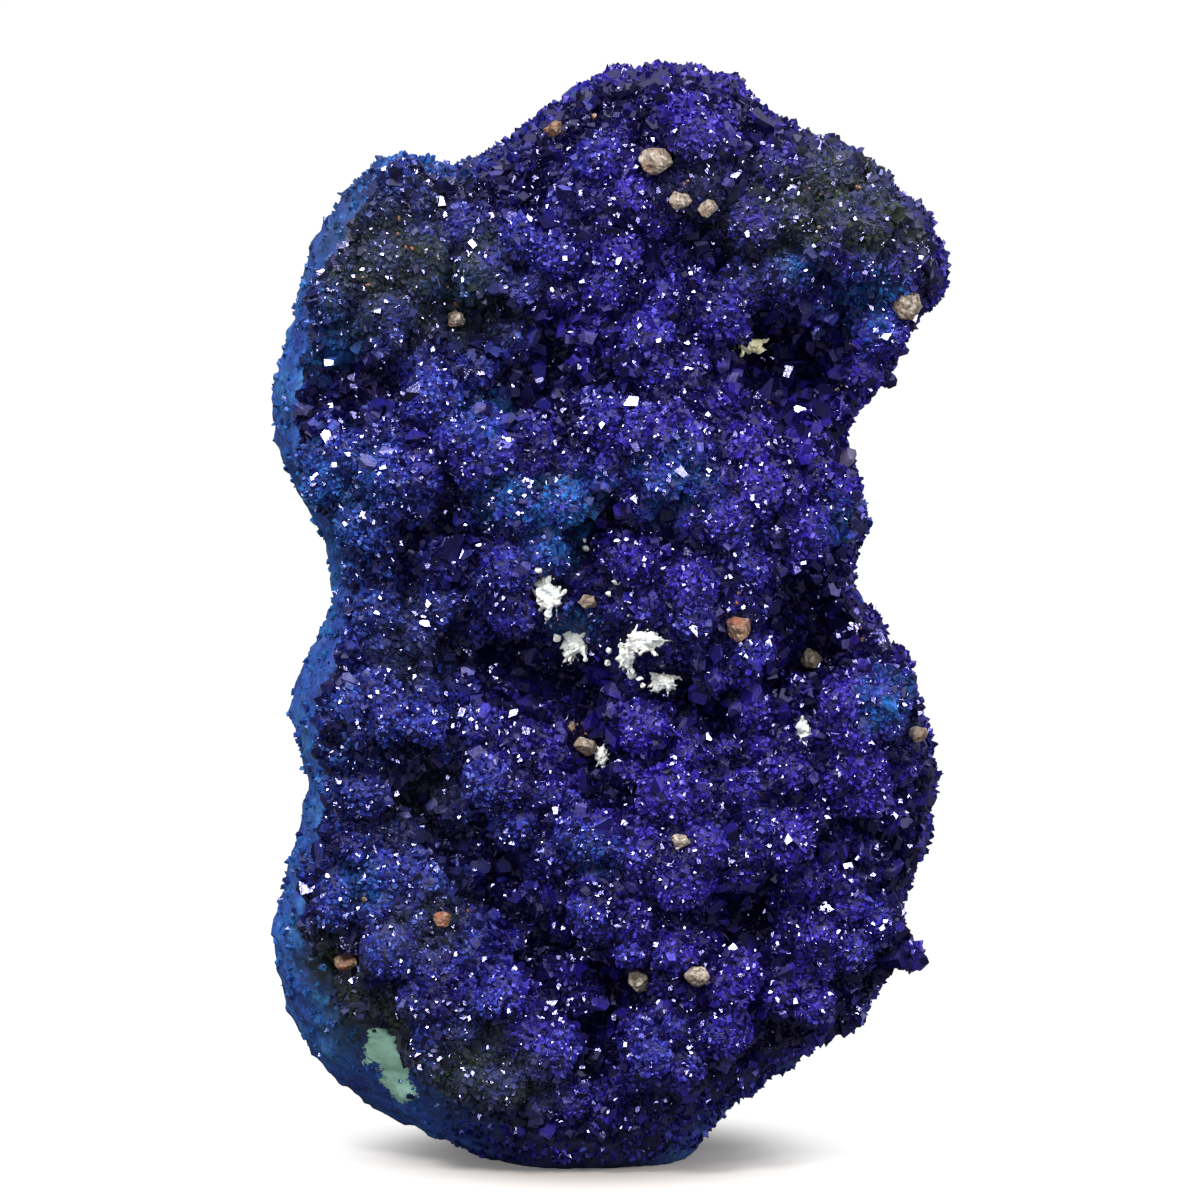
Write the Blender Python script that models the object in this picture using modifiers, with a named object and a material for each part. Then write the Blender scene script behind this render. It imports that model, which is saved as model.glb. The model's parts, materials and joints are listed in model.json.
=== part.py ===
"""Azurite geode: half of a hollow nodule that stands on a small broken flat, with its druse of
dark blue crystals facing -Y. The rind is the nodule's outer wall. The crystal crust fills its open
front in grape-like rosettes and hollows. Bits of white clay and grains of sand are caught in it.

The origin is the centre of the flat that the stone stands on, with +Z up and +X to the right of
someone who faces the crystals. Lengths here are in millimetres, and finish() brings each solid down
to metres, because Remesh and Decimate lose precision on a stone whose crystals are a thousandth of
a unit long.
"""

import math
import random

import bmesh
import bpy
import numpy as np
from mathutils import Matrix, Vector, noise
from mathutils.bvhtree import BVHTree

METRES_PER_MM = 0.001
GAP = 0.12  # between two solids that touch in the real stone

# The stone's outline as seen from the front, (x, z), clockwise from the summit.
OUTLINE = [
    (3.6, 61.7), (5.8, 61.0), (9.7, 59.4), (11.2, 57.6), (13.3, 57.8), (14.8, 56.8), (16.5, 54.3),
    (18.9, 51.8), (19.1, 48.3), (17.6, 45.4), (16.2, 42.9), (13.9, 41.5), (13.9, 39.6), (14.8, 36.9),
    (14.9, 34.6), (13.9, 31.6), (15.9, 30.3), (17.0, 28.3), (18.4, 25.3), (19.1, 21.6), (18.4, 17.6),
    (17.2, 14.4), (17.9, 12.6), (16.8, 10.8), (14.9, 7.9), (12.0, 6.3), (9.2, 4.2), (7.2, 2.6), (5.2, 0.2),
    (2.6, -2.2), (-3.0, -2.2), (-6.2, -0.2), (-8.6, 1.2), (-11.4, 2.8), (-14.4, 4.5), (-16.6, 6.2),
    (-17.8, 9.4), (-18.2, 13.6), (-17.0, 17.3), (-16.1, 20.8), (-17.3, 25.2), (-16.3, 28.0),
    (-14.8, 30.8), (-14.8, 33.8), (-16.0, 36.3), (-17.6, 38.8), (-18.1, 42.2), (-17.4, 46.0),
    (-16.3, 50.0), (-15.0, 53.2), (-12.6, 55.4), (-10.4, 56.4), (-8.6, 55.5), (-6.6, 55.7),
    (-4.2, 57.6), (-1.8, 60.0), (1.0, 61.0),
]
CENTRE = (0.5, 31.0)  # every ray from here crosses the outline once
FLAT_CENTRE = (-0.7, 1.2, 0.0)  # where the flat's middle comes out, moved to the origin at the end

# Depths along Y. The crystals face -Y.
GIRTH = 1.0  # where the nodule is widest
BACK = 13.0
DRUSE_FRONT = -7.6  # the druse's general level, before its lobes and hollows
CRUST = 2.4  # the crust's least thickness under that level, inside its edge
CRUST_AT_EDGE = 1.1

# (direction from the centre in degrees, how far in from the outline the rim of the rind lies,
# depth of that rim). Direction 0 is +X and 90 is up.
RIM = [
    (0, 0.0, -1.6), (60, 0.0, -2.2), (90, 0.2, -2.8), (112, 0.3, -3.4), (124, 1.3, -4.6),
    (136, 0.8, -4.8), (150, 1.6, -5.0), (158, 2.0, -5.0), (168, 1.1, -5.0), (180, 0.5, -5.0),
    (196, 2.0, -5.0), (210, 0.9, -5.0), (223, 1.9, -5.0), (236, 4.2, -5.2), (248, 3.6, -5.4),
    (259, 3.0, -5.6), (270, 4.0, -5.6), (281, 3.2, -5.0), (292, 1.2, -3.6), (304, 0.4, -2.4),
    (320, 0.0, -1.8), (360, 0.0, -1.6),
]

# Broad forms of the druse: (x, z, radius, height). A hollow has a negative height.
LOBES = [
    (14.5, 52.2, 6.0, 3.2), (4.5, 57.8, 6.0, 1.4), (-12.3, 51.7, 5.0, 1.4), (-11.7, 38.3, 5.0, 1.6),
    (7.3, 38.6, 7.0, 3.2), (13.4, 36.0, 4.5, 1.6), (5.6, 31.6, 4.0, 1.6), (15.4, 25.2, 6.0, 3.0),
    (13.9, 14.8, 6.0, 1.4), (5.6, 17.1, 7.0, 2.2), (-10.0, 12.0, 6.0, 1.6), (-13.4, 24.9, 4.5, 1.3),
    (4.5, 8.1, 5.0, 2.0), (-6.7, 7.0, 4.5, 1.3), (-3.3, 38.8, 4.5, 1.4), (0.6, 50.5, 5.0, 1.2),
]
HOLLOWS = [
    (11.9, 44.3, 4.8, -6.2), (8.6, 45.4, 3.0, -3.0), (12.9, 31.2, 3.8, -5.4), (11.4, 27.8, 3.0, -4.2),
    (-4.5, 28.0, 3.4, -4.2), (-0.6, 26.4, 3.0, -3.8), (5.6, 26.4, 2.6, -3.0), (-8.1, 28.8, 2.8, -3.0),
    (-0.6, 36.4, 2.2, -2.4), (-9.0, 34.6, 4.0, -2.8), (-3.1, 44.4, 4.0, -2.6), (-10.0, 21.4, 3.4, -3.6),
    (-6.0, 17.0, 3.4, -3.6), (8.2, 14.9, 3.0, -3.8), (0.2, 7.2, 2.4, -3.6), (0.6, 10.4, 2.2, -3.0),
    (-3.0, 12.8, 2.8, -3.0), (0.0, 22.2, 2.4, -2.6), (5.4, 51.0, 2.6, -2.6), (-14.2, 11.8, 2.2, -2.2),
    (12.6, 49.6, 2.0, -2.2), (-13.6, 43.8, 3.2, -2.8), (-7.4, 48.2, 3.2, -2.6), (13.2, 18.6, 2.6, -2.4),
]

# Rosettes of crystals that stand out as separate balls: (x, z, radius).
ROSETTES = [
    (2.5, 25.2, 2.1), (8.1, 28.9, 2.3), (10.6, 14.0, 2.1), (4.3, 17.6, 2.6), (8.2, 17.9, 2.1),
    (-0.7, 19.5, 2.2), (0.2, 15.4, 2.2), (11.4, 9.9, 1.9), (6.9, 11.0, 2.0), (3.3, 6.9, 2.5),
    (-2.6, 7.2, 2.2), (-8.6, 10.3, 2.4), (-12.0, 12.4, 2.2), (3.5, 21.6, 2.0), (14.3, 26.6, 3.2),
    (15.9, 29.0, 1.7), (-2.0, 37.8, 2.3), (-5.0, 31.9, 2.4), (3.2, 40.6, 3.0), (13.0, 38.4, 2.4),
    (2.2, 46.0, 2.4), (5.8, 48.6, 2.2), (0.0, 53.6, 2.4), (5.0, 58.4, 2.6), (-7.0, 52.2, 2.3),
    (-11.2, 54.0, 2.4), (-14.0, 25.8, 2.2), (-5.2, 21.6, 2.2), (14.6, 52.8, 2.8), (16.9, 49.8, 2.0),
    (17.0, 12.6, 1.1), (-10.6, 55.0, 1.6),
]
SMALL_ROSETTES = 200
SMALL_ROSETTE_RADII = (0.9, 1.9)
ROSETTE_SHOWS = 0.62  # the share of its radius by which a rosette stands out of the druse

# Large crystals: short wedge-ended prisms, mostly in the hollows.
CRYSTALS = 68
CRYSTAL_LENGTHS = (1.4, 2.4)
CRYSTAL_SLENDERNESS = (0.32, 0.44)  # half width over length
CLEAR_OF_CRYSTAL = 3.6  # centres this far apart keep even the largest two apart

# White clay between the crystals: name, x, z, half width, half height, half thickness.
CLAY = [
    ("clay_heart", -2.8, 32.3, 1.25, 1.3, 0.7), ("clay_lower_left", -1.5, 28.8, 0.95, 1.3, 0.6),
    ("clay_ledge", 2.2, 29.6, 1.6, 0.7, 0.6), ("clay_middle", 1.2, 28.0, 0.7, 0.85, 0.5),
    ("clay_lower_right", 3.3, 27.3, 1.0, 0.75, 0.6), ("clay_cave", 8.2, 45.6, 1.1, 0.7, 0.6),
    ("clay_right", 11.3, 25.2, 0.6, 0.95, 0.6), ("clay_foot", 0.1, 23.2, 0.65, 0.7, 0.5),
]
# Grains of sand on the crystals: name, x, z, radius, and the slot of its colour.
GRAINS = [
    ("grain_round", 2.95, 56.2, 0.85, "sand"), ("grain_flake_left", 4.3, 54.2, 0.55, "sand"),
    ("grain_flake_right", 5.8, 53.8, 0.5, "sand"), ("grain_summit", -2.5, 58.0, 0.55, "ochre"),
    ("grain_upper_left", -8.0, 47.4, 0.5, "sand"), ("grain_rust", 7.5, 30.1, 0.8, "ochre"),
    ("grain_small", 4.35, 19.1, 0.45, "sand"), ("grain_low_left", 2.3, 11.1, 0.6, "sand"),
    ("grain_low_right", 5.3, 11.5, 0.65, "sand"), ("grain_groove", -0.9, 23.9, 0.6, "sand"),
    ("grain_heart", -0.7, 31.6, 0.45, "sand"), ("grain_left", -8.6, 14.6, 0.45, "ochre"),
    ("grain_shaded", 12.0, 28.3, 0.6, "sand"), ("grain_edge", 17.2, 48.0, 0.8, "sand"),
    ("grain_brown", -13.8, 11.9, 0.6, "ochre"), ("grain_right_rim", 17.9, 24.6, 0.5, "sand"),
]

# What each material is: colour (linear), roughness.
COLOURS = {
    "rind": ((0.020, 0.060, 0.260), 0.80),
    "azurite": ((0.014, 0.010, 0.200), 0.18),
    "clay": ((0.780, 0.790, 0.740), 0.90),
    "sand": ((0.420, 0.310, 0.220), 0.70),
    "ochre": ((0.460, 0.170, 0.070), 0.80),
}

SKIN_MESH = (56, 40)  # vertices round each ring, and rings from front to back
DRUSE_MESH = (96, 64)
CAVITY_MESH = (32, 19)
DRUSE_TRIANGLES = 3300  # before the crystals are joined on and the pockets are cut
RIND_TRIANGLES = 1200
AROUND_POLE = Matrix.Rotation(math.radians(90), 4, "X")  # a sphere's poles go to -Y and +Y


def smooth_ring(points, count):
    """The closed smooth curve through the points, as count points evenly spaced along it."""
    p = np.array(points)
    before, after, later = np.roll(p, 1, 0), np.roll(p, -1, 0), np.roll(p, -2, 0)
    t = np.linspace(0, 1, 12, endpoint=False)[:, None, None]
    curve = 0.5 * (
        2 * p + (after - before) * t + (2 * before - 5 * p + 4 * after - later) * t**2
        + (3 * p - before - 3 * after + later) * t**3
    )
    curve = curve.transpose(1, 0, 2).reshape(-1, 2)
    closed = np.vstack([curve, curve[:1]])
    along = np.concatenate([[0], np.cumsum(np.linalg.norm(np.diff(closed, axis=0), axis=1))])
    even = np.linspace(0, along[-1], count, endpoint=False)
    return np.stack([np.interp(even, along, closed[:, k]) for k in (0, 1)], 1)


def reach_in_each_direction(ring):
    """Direction in degrees and distance from the centre, for interpolation over a full turn."""
    offset = ring - CENTRE
    degrees = np.degrees(np.arctan2(offset[:, 1], offset[:, 0])) % 360
    order = np.argsort(degrees)
    degrees, distance = degrees[order], np.linalg.norm(offset, axis=1)[order]
    return (
        np.concatenate([degrees - 360, degrees, degrees + 360]),
        np.concatenate([distance] * 3),
    )


OUTLINE_REACH = reach_in_each_direction(smooth_ring(OUTLINE, 720))


def outline_reach(degrees, softened=0.0):
    """Distance from the centre to the outline, or its mean over that many degrees to each side."""
    if softened:
        steps = np.linspace(-softened, softened, 9)
        return float(np.mean([np.interp((degrees + s) % 360, *OUTLINE_REACH) for s in steps]))
    return float(np.interp(degrees % 360, *OUTLINE_REACH))


def rim(degrees):
    """(inset from the outline, depth) of the rind's rim in that direction."""
    directions, insets, depths = zip(*RIM)
    degrees %= 360
    return float(np.interp(degrees, directions, insets)), float(np.interp(degrees, directions, depths))


def direction_and_distance(x, z):
    return math.degrees(math.atan2(z - CENTRE[1], x - CENTRE[0])), math.hypot(x - CENTRE[0], z - CENTRE[1])


def at(degrees, distance, y):
    """The point in that direction and at that distance from the centre, at depth y."""
    a = math.radians(degrees)
    return Vector((CENTRE[0] + distance * math.cos(a), y, CENTRE[1] + distance * math.sin(a)))


def swell(x, z, forms, widened=1.0):
    """Height at (x, z) of broad forms given as (x, z, radius, height)."""
    total = 0.0
    for fx, fz, radius, height in forms:
        squared = ((x - fx) ** 2 + (z - fz) ** 2) / (widened * radius) ** 2
        if squared < 4:
            total += height * math.exp(-1.6 * squared)
    return total


def domed(x, z, front):
    """Depth of a dome over the druse whose general level is front, and how far out (x, z) lies in
    it, from 0 at the centre to 1 at the druse's edge."""
    degrees, distance = direction_and_distance(x, z)
    inset, rim_depth = rim(degrees)
    share = min(distance / (outline_reach(degrees) - inset), 1.0)
    return rim_depth + (front - rim_depth) * (1 - share**4.5) ** 0.38, share


def druse_level(x, z):
    """Depth of the druse's surface, before its rosettes."""
    waves = 0.7 * noise.noise(Vector((x, z, 3.0)) * 0.22)
    return domed(x, z, DRUSE_FRONT - swell(x, z, LOBES + HOLLOWS) + waves)[0]


def crust_back(x, z):
    """Depth at which the crust meets the rind. It runs flatter under the lobes and wider under the
    hollows, so that the crust is nowhere thinner than CRUST inside its edge."""
    relief = 0.5 * swell(x, z, LOBES) + swell(x, z, HOLLOWS, widened=1.3)
    level, share = domed(x, z, DRUSE_FRONT + 0.7 - relief)
    return level + CRUST + (CRUST_AT_EDGE - CRUST) * share**6


def new_object(name, mesh_or_bmesh, collection):
    if isinstance(mesh_or_bmesh, bmesh.types.BMesh):
        mesh = bpy.data.meshes.new(name)
        mesh_or_bmesh.to_mesh(mesh)
        mesh_or_bmesh.free()
    else:
        mesh = mesh_or_bmesh
    obj = bpy.data.objects.new(name, mesh)
    collection.objects.link(obj)
    return obj


def evaluated_copy(obj, name, collection):
    """A new object with obj's modifiers applied. obj is removed."""
    graph = bpy.context.evaluated_depsgraph_get()
    mesh = bpy.data.meshes.new_from_object(obj.evaluated_get(graph))
    bpy.data.objects.remove(obj)
    return new_object(name, mesh, collection)


def formed_sphere(place, sides, rings):
    """A sphere with its poles front and back, each of whose vertices goes to place(degrees, share):
    share runs from 0 at the front pole to 1 at the back pole."""
    bm = bmesh.new()
    bmesh.ops.create_uvsphere(bm, u_segments=sides, v_segments=rings, radius=1.0, matrix=AROUND_POLE)
    for v in bm.verts:
        degrees = math.degrees(math.atan2(v.co.z, v.co.x))
        share = math.acos(max(-1.0, min(1.0, -v.co.y))) / math.pi
        v.co = place(degrees, share)
    bmesh.ops.recalc_face_normals(bm, faces=bm.faces)
    return bm


def skin_point(degrees, share):
    """The nodule's outer surface: a shallow front, the band that shows beside the druse, the girth,
    and a rounded back on which the outline's notches fade."""
    inset, rim_depth = rim(degrees)
    front_share, girth_share = 0.30, 0.45
    reach = outline_reach(degrees)
    if share < front_share:
        spot = at(degrees, (reach - inset) * share / front_share, 0)
        spot.y = druse_level(spot.x, spot.z)
        return spot
    if share < girth_share:
        t = (share - front_share) / (girth_share - front_share)
        bulge = math.sin(t * math.pi / 2)
        return at(degrees, reach - inset * (1 - bulge), rim_depth + (GIRTH - rim_depth) * t)
    t = (share - girth_share) / (1 - girth_share)
    turn = t * math.pi / 2
    reach += (outline_reach(degrees, softened=9) - reach) * t
    boxy = 0.78  # under 1 keeps the sides steep and the back flatter
    return at(degrees, reach * math.cos(turn) ** boxy, GIRTH + (BACK - GIRTH) * math.sin(turn) ** boxy)


def cavity_point(degrees, share):
    """The space that the crust may fill: the rind's hollow and everything in front of it."""
    inset, rim_depth = rim(degrees)
    open_side = 3.0 * max(0.0, 1 - inset / 0.6)  # with no rim to stop it, it runs past the skin
    edge = outline_reach(degrees, softened=3) - inset + open_side
    in_front, flare = -24.0, 6.0
    wall_share, rim_share = 0.20, 0.30
    if share < wall_share:
        return at(degrees, (edge + flare) * share / wall_share, in_front)
    if share < rim_share:
        t = (share - wall_share) / (rim_share - wall_share)
        depth = in_front + (rim_depth + CRUST_AT_EDGE - in_front) * t
        return at(degrees, edge + flare * (1 - t), depth)
    spot = at(degrees, edge * (1 - share) / (1 - rim_share), 0)
    spot.y = crust_back(spot.x, spot.z)
    return spot


def cavity(grow=0.0):
    """The cavity's mesh, or one that lies outside it by grow all round."""
    bm = formed_sphere(cavity_point, *CAVITY_MESH)
    bmesh.ops.triangulate(bm, faces=bm.faces)
    moves = [v.normal * v.calc_shell_factor() * grow for v in bm.verts]
    for v, move in zip(bm.verts, moves):
        v.co += move
    return bm


def crust_base_point(degrees, share):
    """The druse without its rosettes. Its back lies deep in the rind, and the cavity trims it."""
    inset, _ = rim(degrees)
    edge = outline_reach(degrees) - inset - 0.35
    front_share = 0.72
    if share < front_share:
        distance = edge * (share / front_share) ** 0.92
        spot = at(degrees, distance, 0)
        return at(degrees, distance, druse_level(spot.x, spot.z))
    t = (1 - share) / (1 - front_share)
    return at(degrees, edge * t, 4.0)


def surface_normal(x, z):
    """Outward normal of the druse's general surface."""
    step = 0.4
    slope_x = (druse_level(x + step, z) - druse_level(x - step, z)) / (2 * step)
    slope_z = (druse_level(x, z + step) - druse_level(x, z - step)) / (2 * step)
    return Vector((slope_x, -1.0, slope_z)).normalized()


def scattered_rosettes():
    """Small rosettes set at random between the large ones, none closer than their radii allow."""
    rng = random.Random(31)
    placed = list(ROSETTES)
    tries = 0
    while len(placed) < len(ROSETTES) + SMALL_ROSETTES and tries < 20000:
        tries += 1
        degrees, share = rng.uniform(0, 360), math.sqrt(rng.random())
        radius = rng.uniform(*SMALL_ROSETTE_RADII)
        inset, _ = rim(degrees)
        spot = at(degrees, share * (outline_reach(degrees) - inset - 0.4 * radius), 0)
        apart = 0.62
        if all(math.hypot(spot.x - x, spot.z - z) > apart * (radius + r) for x, z, r in placed):
            placed.append((spot.x, spot.z, radius))
    return placed


def add_rosettes(bm):
    """A rough ball for each rosette, sunk into the druse."""
    for x, z, radius in scattered_rosettes():
        radius *= 1 - 0.07 * max(0.0, -swell(x, z, HOLLOWS))
        sunk = surface_normal(x, z) * radius * (1 - ROSETTE_SHOWS)
        centre = Vector((x, druse_level(x, z), z)) - sunk
        place = Matrix.Translation(centre)
        ball = bmesh.ops.create_icosphere(bm, subdivisions=2, radius=radius, matrix=place)
        for v in ball["verts"]:
            out = v.co - centre
            v.co = centre + out * (1 + 0.2 * noise.noise(v.co * (1.6 / radius)))


def fused(name, bm, voxel, triangles, collection):
    """The overlapping shells of bm as one closed surface of about that many triangles."""
    rough = new_object(name + "_rough", bm, collection)
    remesh = rough.modifiers.new("Fuse", "REMESH")
    remesh.mode = "VOXEL"
    remesh.voxel_size = voxel
    whole = evaluated_copy(rough, name + "_whole", collection)
    thin = whole.modifiers.new("Thin", "DECIMATE")
    thin.use_collapse_triangulate = True
    thin.ratio = min(1.0, triangles / (2 * len(whole.data.polygons)))
    return evaluated_copy(whole, name, collection)


def combine(obj, cutter, operation, collection, solver="EXACT"):
    """obj with cutter cut away, kept to, or joined. Both are replaced by the result. The crust uses
    MANIFOLD, because EXACT leaves edges with four faces on it."""
    change = obj.modifiers.new("Combine", "BOOLEAN")
    change.object = cutter
    change.operation = operation
    change.solver = solver
    name = obj.name
    result = evaluated_copy(obj, name + "_new", collection)
    result.name = name
    bpy.data.objects.remove(cutter)
    return result


def without_crumbs(obj):
    """Deletes what a trim left loose beside the main body."""
    bm = bmesh.new()
    bm.from_mesh(obj.data)
    bodies, unseen = [], set(bm.verts)
    while unseen:
        body, edge = set(), [unseen.pop()]
        while edge:
            v = edge.pop()
            body.add(v)
            near = {e.other_vert(v) for e in v.link_edges} & unseen
            unseen -= near
            edge.extend(near)
        bodies.append(body)
    bodies.sort(key=len)
    bmesh.ops.delete(bm, geom=[v for body in bodies[:-1] for v in body], context="VERTS")
    bm.to_mesh(obj.data)
    bm.free()


def crystal(bm, place, length, half_width, turn):
    """One azurite crystal: a flattened prism whose top is cut to a slanting wedge."""
    made = bmesh.ops.create_cube(bm, size=1.0)
    scale = Matrix.Diagonal((2 * half_width, 1.2 * half_width, length, 1.0))
    bmesh.ops.transform(bm, matrix=scale, verts=made["verts"])
    top = max(v.co.z for v in made["verts"])
    for v in made["verts"]:
        if v.co.z > 0.9 * top:
            v.co.y *= 0.22
            v.co.z -= 0.34 * length * (v.co.x > 0)
            v.co.x *= 0.72
    bmesh.ops.transform(bm, matrix=place @ Matrix.Rotation(turn, 4, "Z"), verts=made["verts"])


def large_crystals(crust, kept_clear, collection):
    """Crystals that grow out of the crust's front faces, most of them where it is hollow. None
    grows within a kept_clear circle, each of which is (x, z, radius). They come as a few objects,
    and no two crystals of one object touch."""
    rng = random.Random(8)
    spots = [
        (p.center.copy(), p.normal.copy())
        for p in crust.data.polygons
        if p.normal.y < 0.1
        and p.area > 0.15
        and all(math.hypot(p.center.x - x, p.center.z - z) > r for x, z, r in kept_clear)
    ]
    weights = [0.25 + max(0.0, -swell(c.x, c.z, HOLLOWS)) for c, _ in spots]
    layers = []
    taken = []
    while len(taken) < CRYSTALS:
        centre, normal = rng.choices(spots, weights)[0]
        length = rng.uniform(*CRYSTAL_LENGTHS)
        if any((centre - other).length < 0.4 * (length + size) for other, size in taken):
            continue
        taken.append((centre, length))
        lean = Vector([rng.uniform(-0.55, 0.55) for _ in range(3)])
        axis = (normal + lean).normalized()
        centre = centre + axis * 0.18 * length
        place = Matrix.Translation(centre) @ axis.to_track_quat("Z", "Y").to_matrix().to_4x4()
        for bm, centres in layers:
            if all((centre - other).length > CLEAR_OF_CRYSTAL for other in centres):
                break
        else:
            bm, centres = bmesh.new(), []
            layers.append((bm, centres))
        centres.append(centre)
        crystal(bm, place, length, rng.uniform(*CRYSTAL_SLENDERNESS) * length, rng.uniform(0, math.pi))
    return [new_object("large_crystals", bm, collection) for bm, _ in layers]


def pebble(centre, half_sizes, roughness, grow=0.0):
    """A lumpy bit of mineral. grow makes it larger all round, for cutting its pocket."""
    bm = bmesh.new()
    bmesh.ops.create_icosphere(bm, subdivisions=1, radius=1.0)
    for v in bm.verts:
        bump = 1 + roughness * noise.noise(v.co * 1.7 + centre)
        v.co = Vector(v.co[k] * (half_sizes[k] * bump + grow) for k in range(3)) + centre
    return bm


def caught_pieces(crust):
    """(name, slot, centre, half sizes, roughness) of each bit of clay and grain of sand, which
    lies where a line of sight from the front meets the crust."""
    surface = BVHTree.FromObject(crust, bpy.context.evaluated_depsgraph_get())

    def sunk(x, z, depth):
        point, normal, _, _ = surface.ray_cast(Vector((x, -30.0, z)), Vector((0, 1, 0)))
        return point - normal * depth

    pieces = []
    for name, x, z, wide, high, thick in CLAY:
        pieces.append((name, "clay", sunk(x, z, 0.2 * thick), (wide, thick, high), 0.55))
    for name, x, z, radius, slot in GRAINS:
        half_sizes = (radius, 0.8 * radius, 0.92 * radius)
        pieces.append((name, slot, sunk(x, z, -0.3 * radius), half_sizes, 0.25))
    return pieces


def box_below_base():
    """What the flat at z = 0 cuts off."""
    bm = bmesh.new()
    bmesh.ops.create_cube(bm, size=1.0)
    bmesh.ops.scale(bm, vec=(60, 60, 12), verts=bm.verts)
    bmesh.ops.translate(bm, vec=(0, 0, -6), verts=bm.verts)
    return bm


def add_knobs(bm):
    """Low rounded swellings over the nodule's back and sides."""
    rng = random.Random(5)
    taken = []
    for _ in range(600):
        spot = skin_point(rng.uniform(0, 360), rng.uniform(0.62, 0.97))
        radius = rng.uniform(2.8, 5.4)
        if spot.z < 5.0 or any((spot - other).length < 1.1 * (radius + r) / 1.35 for other, r in taken):
            continue
        taken.append((spot, radius))
        inwards = (Vector((CENTRE[0], 2.0, CENTRE[1])) - spot).normalized()
        centre = spot + inwards * radius * 0.80
        bmesh.ops.create_icosphere(bm, subdivisions=3, radius=radius, matrix=Matrix.Translation(centre))


def material(slot):
    colour, roughness = COLOURS[slot]
    made = bpy.data.materials.new(slot)
    made.use_nodes = True
    shader = made.node_tree.nodes["Principled BSDF"]
    shader.inputs["Base Color"].default_value = (*colour, 1.0)
    shader.inputs["Roughness"].default_value = roughness
    shader.inputs["Metallic"].default_value = 0.0
    return made


def finish(obj, made_of):
    """obj in metres, with the flat's middle at the origin and with its material."""
    obj.data.transform(Matrix.Scale(METRES_PER_MM, 4) @ Matrix.Translation(-Vector(FLAT_CENTRE)))
    obj.data.materials.clear()
    obj.data.materials.append(made_of)


def rind_solid(geode, cutters):
    """The nodule's wall and everything behind the druse, hollowed for the crust and cut flat."""
    skin = formed_sphere(skin_point, *SKIN_MESH)
    add_knobs(skin)
    rind = fused("rind", skin, voxel=0.6, triangles=RIND_TRIANGLES, collection=geode)
    rind = combine(rind, new_object("hollow", cavity(grow=GAP), cutters), "DIFFERENCE", geode)
    return combine(rind, new_object("below", box_below_base(), cutters), "DIFFERENCE", geode)


def crust_solid(geode, cutters):
    """The crust, and the pieces caught in it, each in a pocket with clearance."""
    druse = formed_sphere(crust_base_point, *DRUSE_MESH)
    add_rosettes(druse)
    crust = fused("crystal_crust", druse, voxel=0.4, triangles=DRUSE_TRIANGLES, collection=geode)
    pieces = caught_pieces(crust)
    kept_clear = [(centre.x, centre.z, half_sizes[0] + 1.0) for _, _, centre, half_sizes, _ in pieces]
    for crystals in large_crystals(crust, kept_clear, cutters):
        crust = combine(crust, crystals, "UNION", geode, "MANIFOLD")
    crust = combine(crust, new_object("cavity", cavity(), cutters), "INTERSECT", geode, "MANIFOLD")
    without_crumbs(crust)
    for name, _, centre, half_sizes, roughness in pieces:
        pocket = new_object(name + "_pocket", pebble(centre, half_sizes, roughness, GAP), cutters)
        crust = combine(crust, pocket, "DIFFERENCE", geode, "MANIFOLD")
    without_crumbs(crust)
    return crust, pieces


def main():
    for obj in list(bpy.data.objects):
        bpy.data.objects.remove(obj)
    geode = bpy.data.collections.new("azurite_geode")
    cutters = bpy.data.collections.new("cutters")
    for collection in (geode, cutters):
        bpy.context.scene.collection.children.link(collection)
    materials = {slot: material(slot) for slot in COLOURS}

    finish(rind_solid(geode, cutters), materials["rind"])
    crust, pieces = crust_solid(geode, cutters)
    finish(crust, materials["azurite"])
    for name, slot, centre, half_sizes, roughness in pieces:
        finish(new_object(name, pebble(centre, half_sizes, roughness), geode), materials[slot])


main()
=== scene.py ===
"""Azurite geode: the looks of a hollow azurite nodule that stands on its foot, its open front
covered by a druse of dark blue crystals.

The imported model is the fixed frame. Each of its nodes is stood for by a finer piece made from a
copy of its mesh: the rind, the bed that the crystals grow from, the bits of white clay and the
grains of sand. The crystals themselves, tens of thousands of them, are joined meshes. Lengths are
in millimetres until a piece is finished, when it is brought down to metres.
"""

import json
import math

import bmesh
import bpy
import numpy as np
from bpy.props import FloatProperty, FloatVectorProperty, IntProperty, PointerProperty
from mathutils import Matrix, Vector, noise
from mathutils.bvhtree import BVHTree


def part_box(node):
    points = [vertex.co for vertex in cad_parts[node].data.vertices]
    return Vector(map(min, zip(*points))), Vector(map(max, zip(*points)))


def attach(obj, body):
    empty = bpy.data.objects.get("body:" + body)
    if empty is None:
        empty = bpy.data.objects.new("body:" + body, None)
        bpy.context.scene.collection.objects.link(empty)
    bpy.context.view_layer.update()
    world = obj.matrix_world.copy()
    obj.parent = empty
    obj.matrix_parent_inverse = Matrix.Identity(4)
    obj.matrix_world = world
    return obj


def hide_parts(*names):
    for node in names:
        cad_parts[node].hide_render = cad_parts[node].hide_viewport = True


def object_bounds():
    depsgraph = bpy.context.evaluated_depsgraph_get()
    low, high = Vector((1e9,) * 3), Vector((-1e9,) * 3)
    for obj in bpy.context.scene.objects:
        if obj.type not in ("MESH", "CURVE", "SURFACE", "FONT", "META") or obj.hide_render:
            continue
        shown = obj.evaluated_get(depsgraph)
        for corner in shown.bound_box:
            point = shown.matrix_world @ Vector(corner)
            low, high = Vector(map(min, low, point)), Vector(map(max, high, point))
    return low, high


bl_info = {
    "name": "Azurite Geode",
    "version": (1, 0, 0),
    "blender": (4, 5, 0),
    "location": "3D View > Sidebar > Geode",
    "description": "Dresses the solids of an azurite geode as a druse of crystals on its rind",
    "category": "Add Mesh",
}

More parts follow.
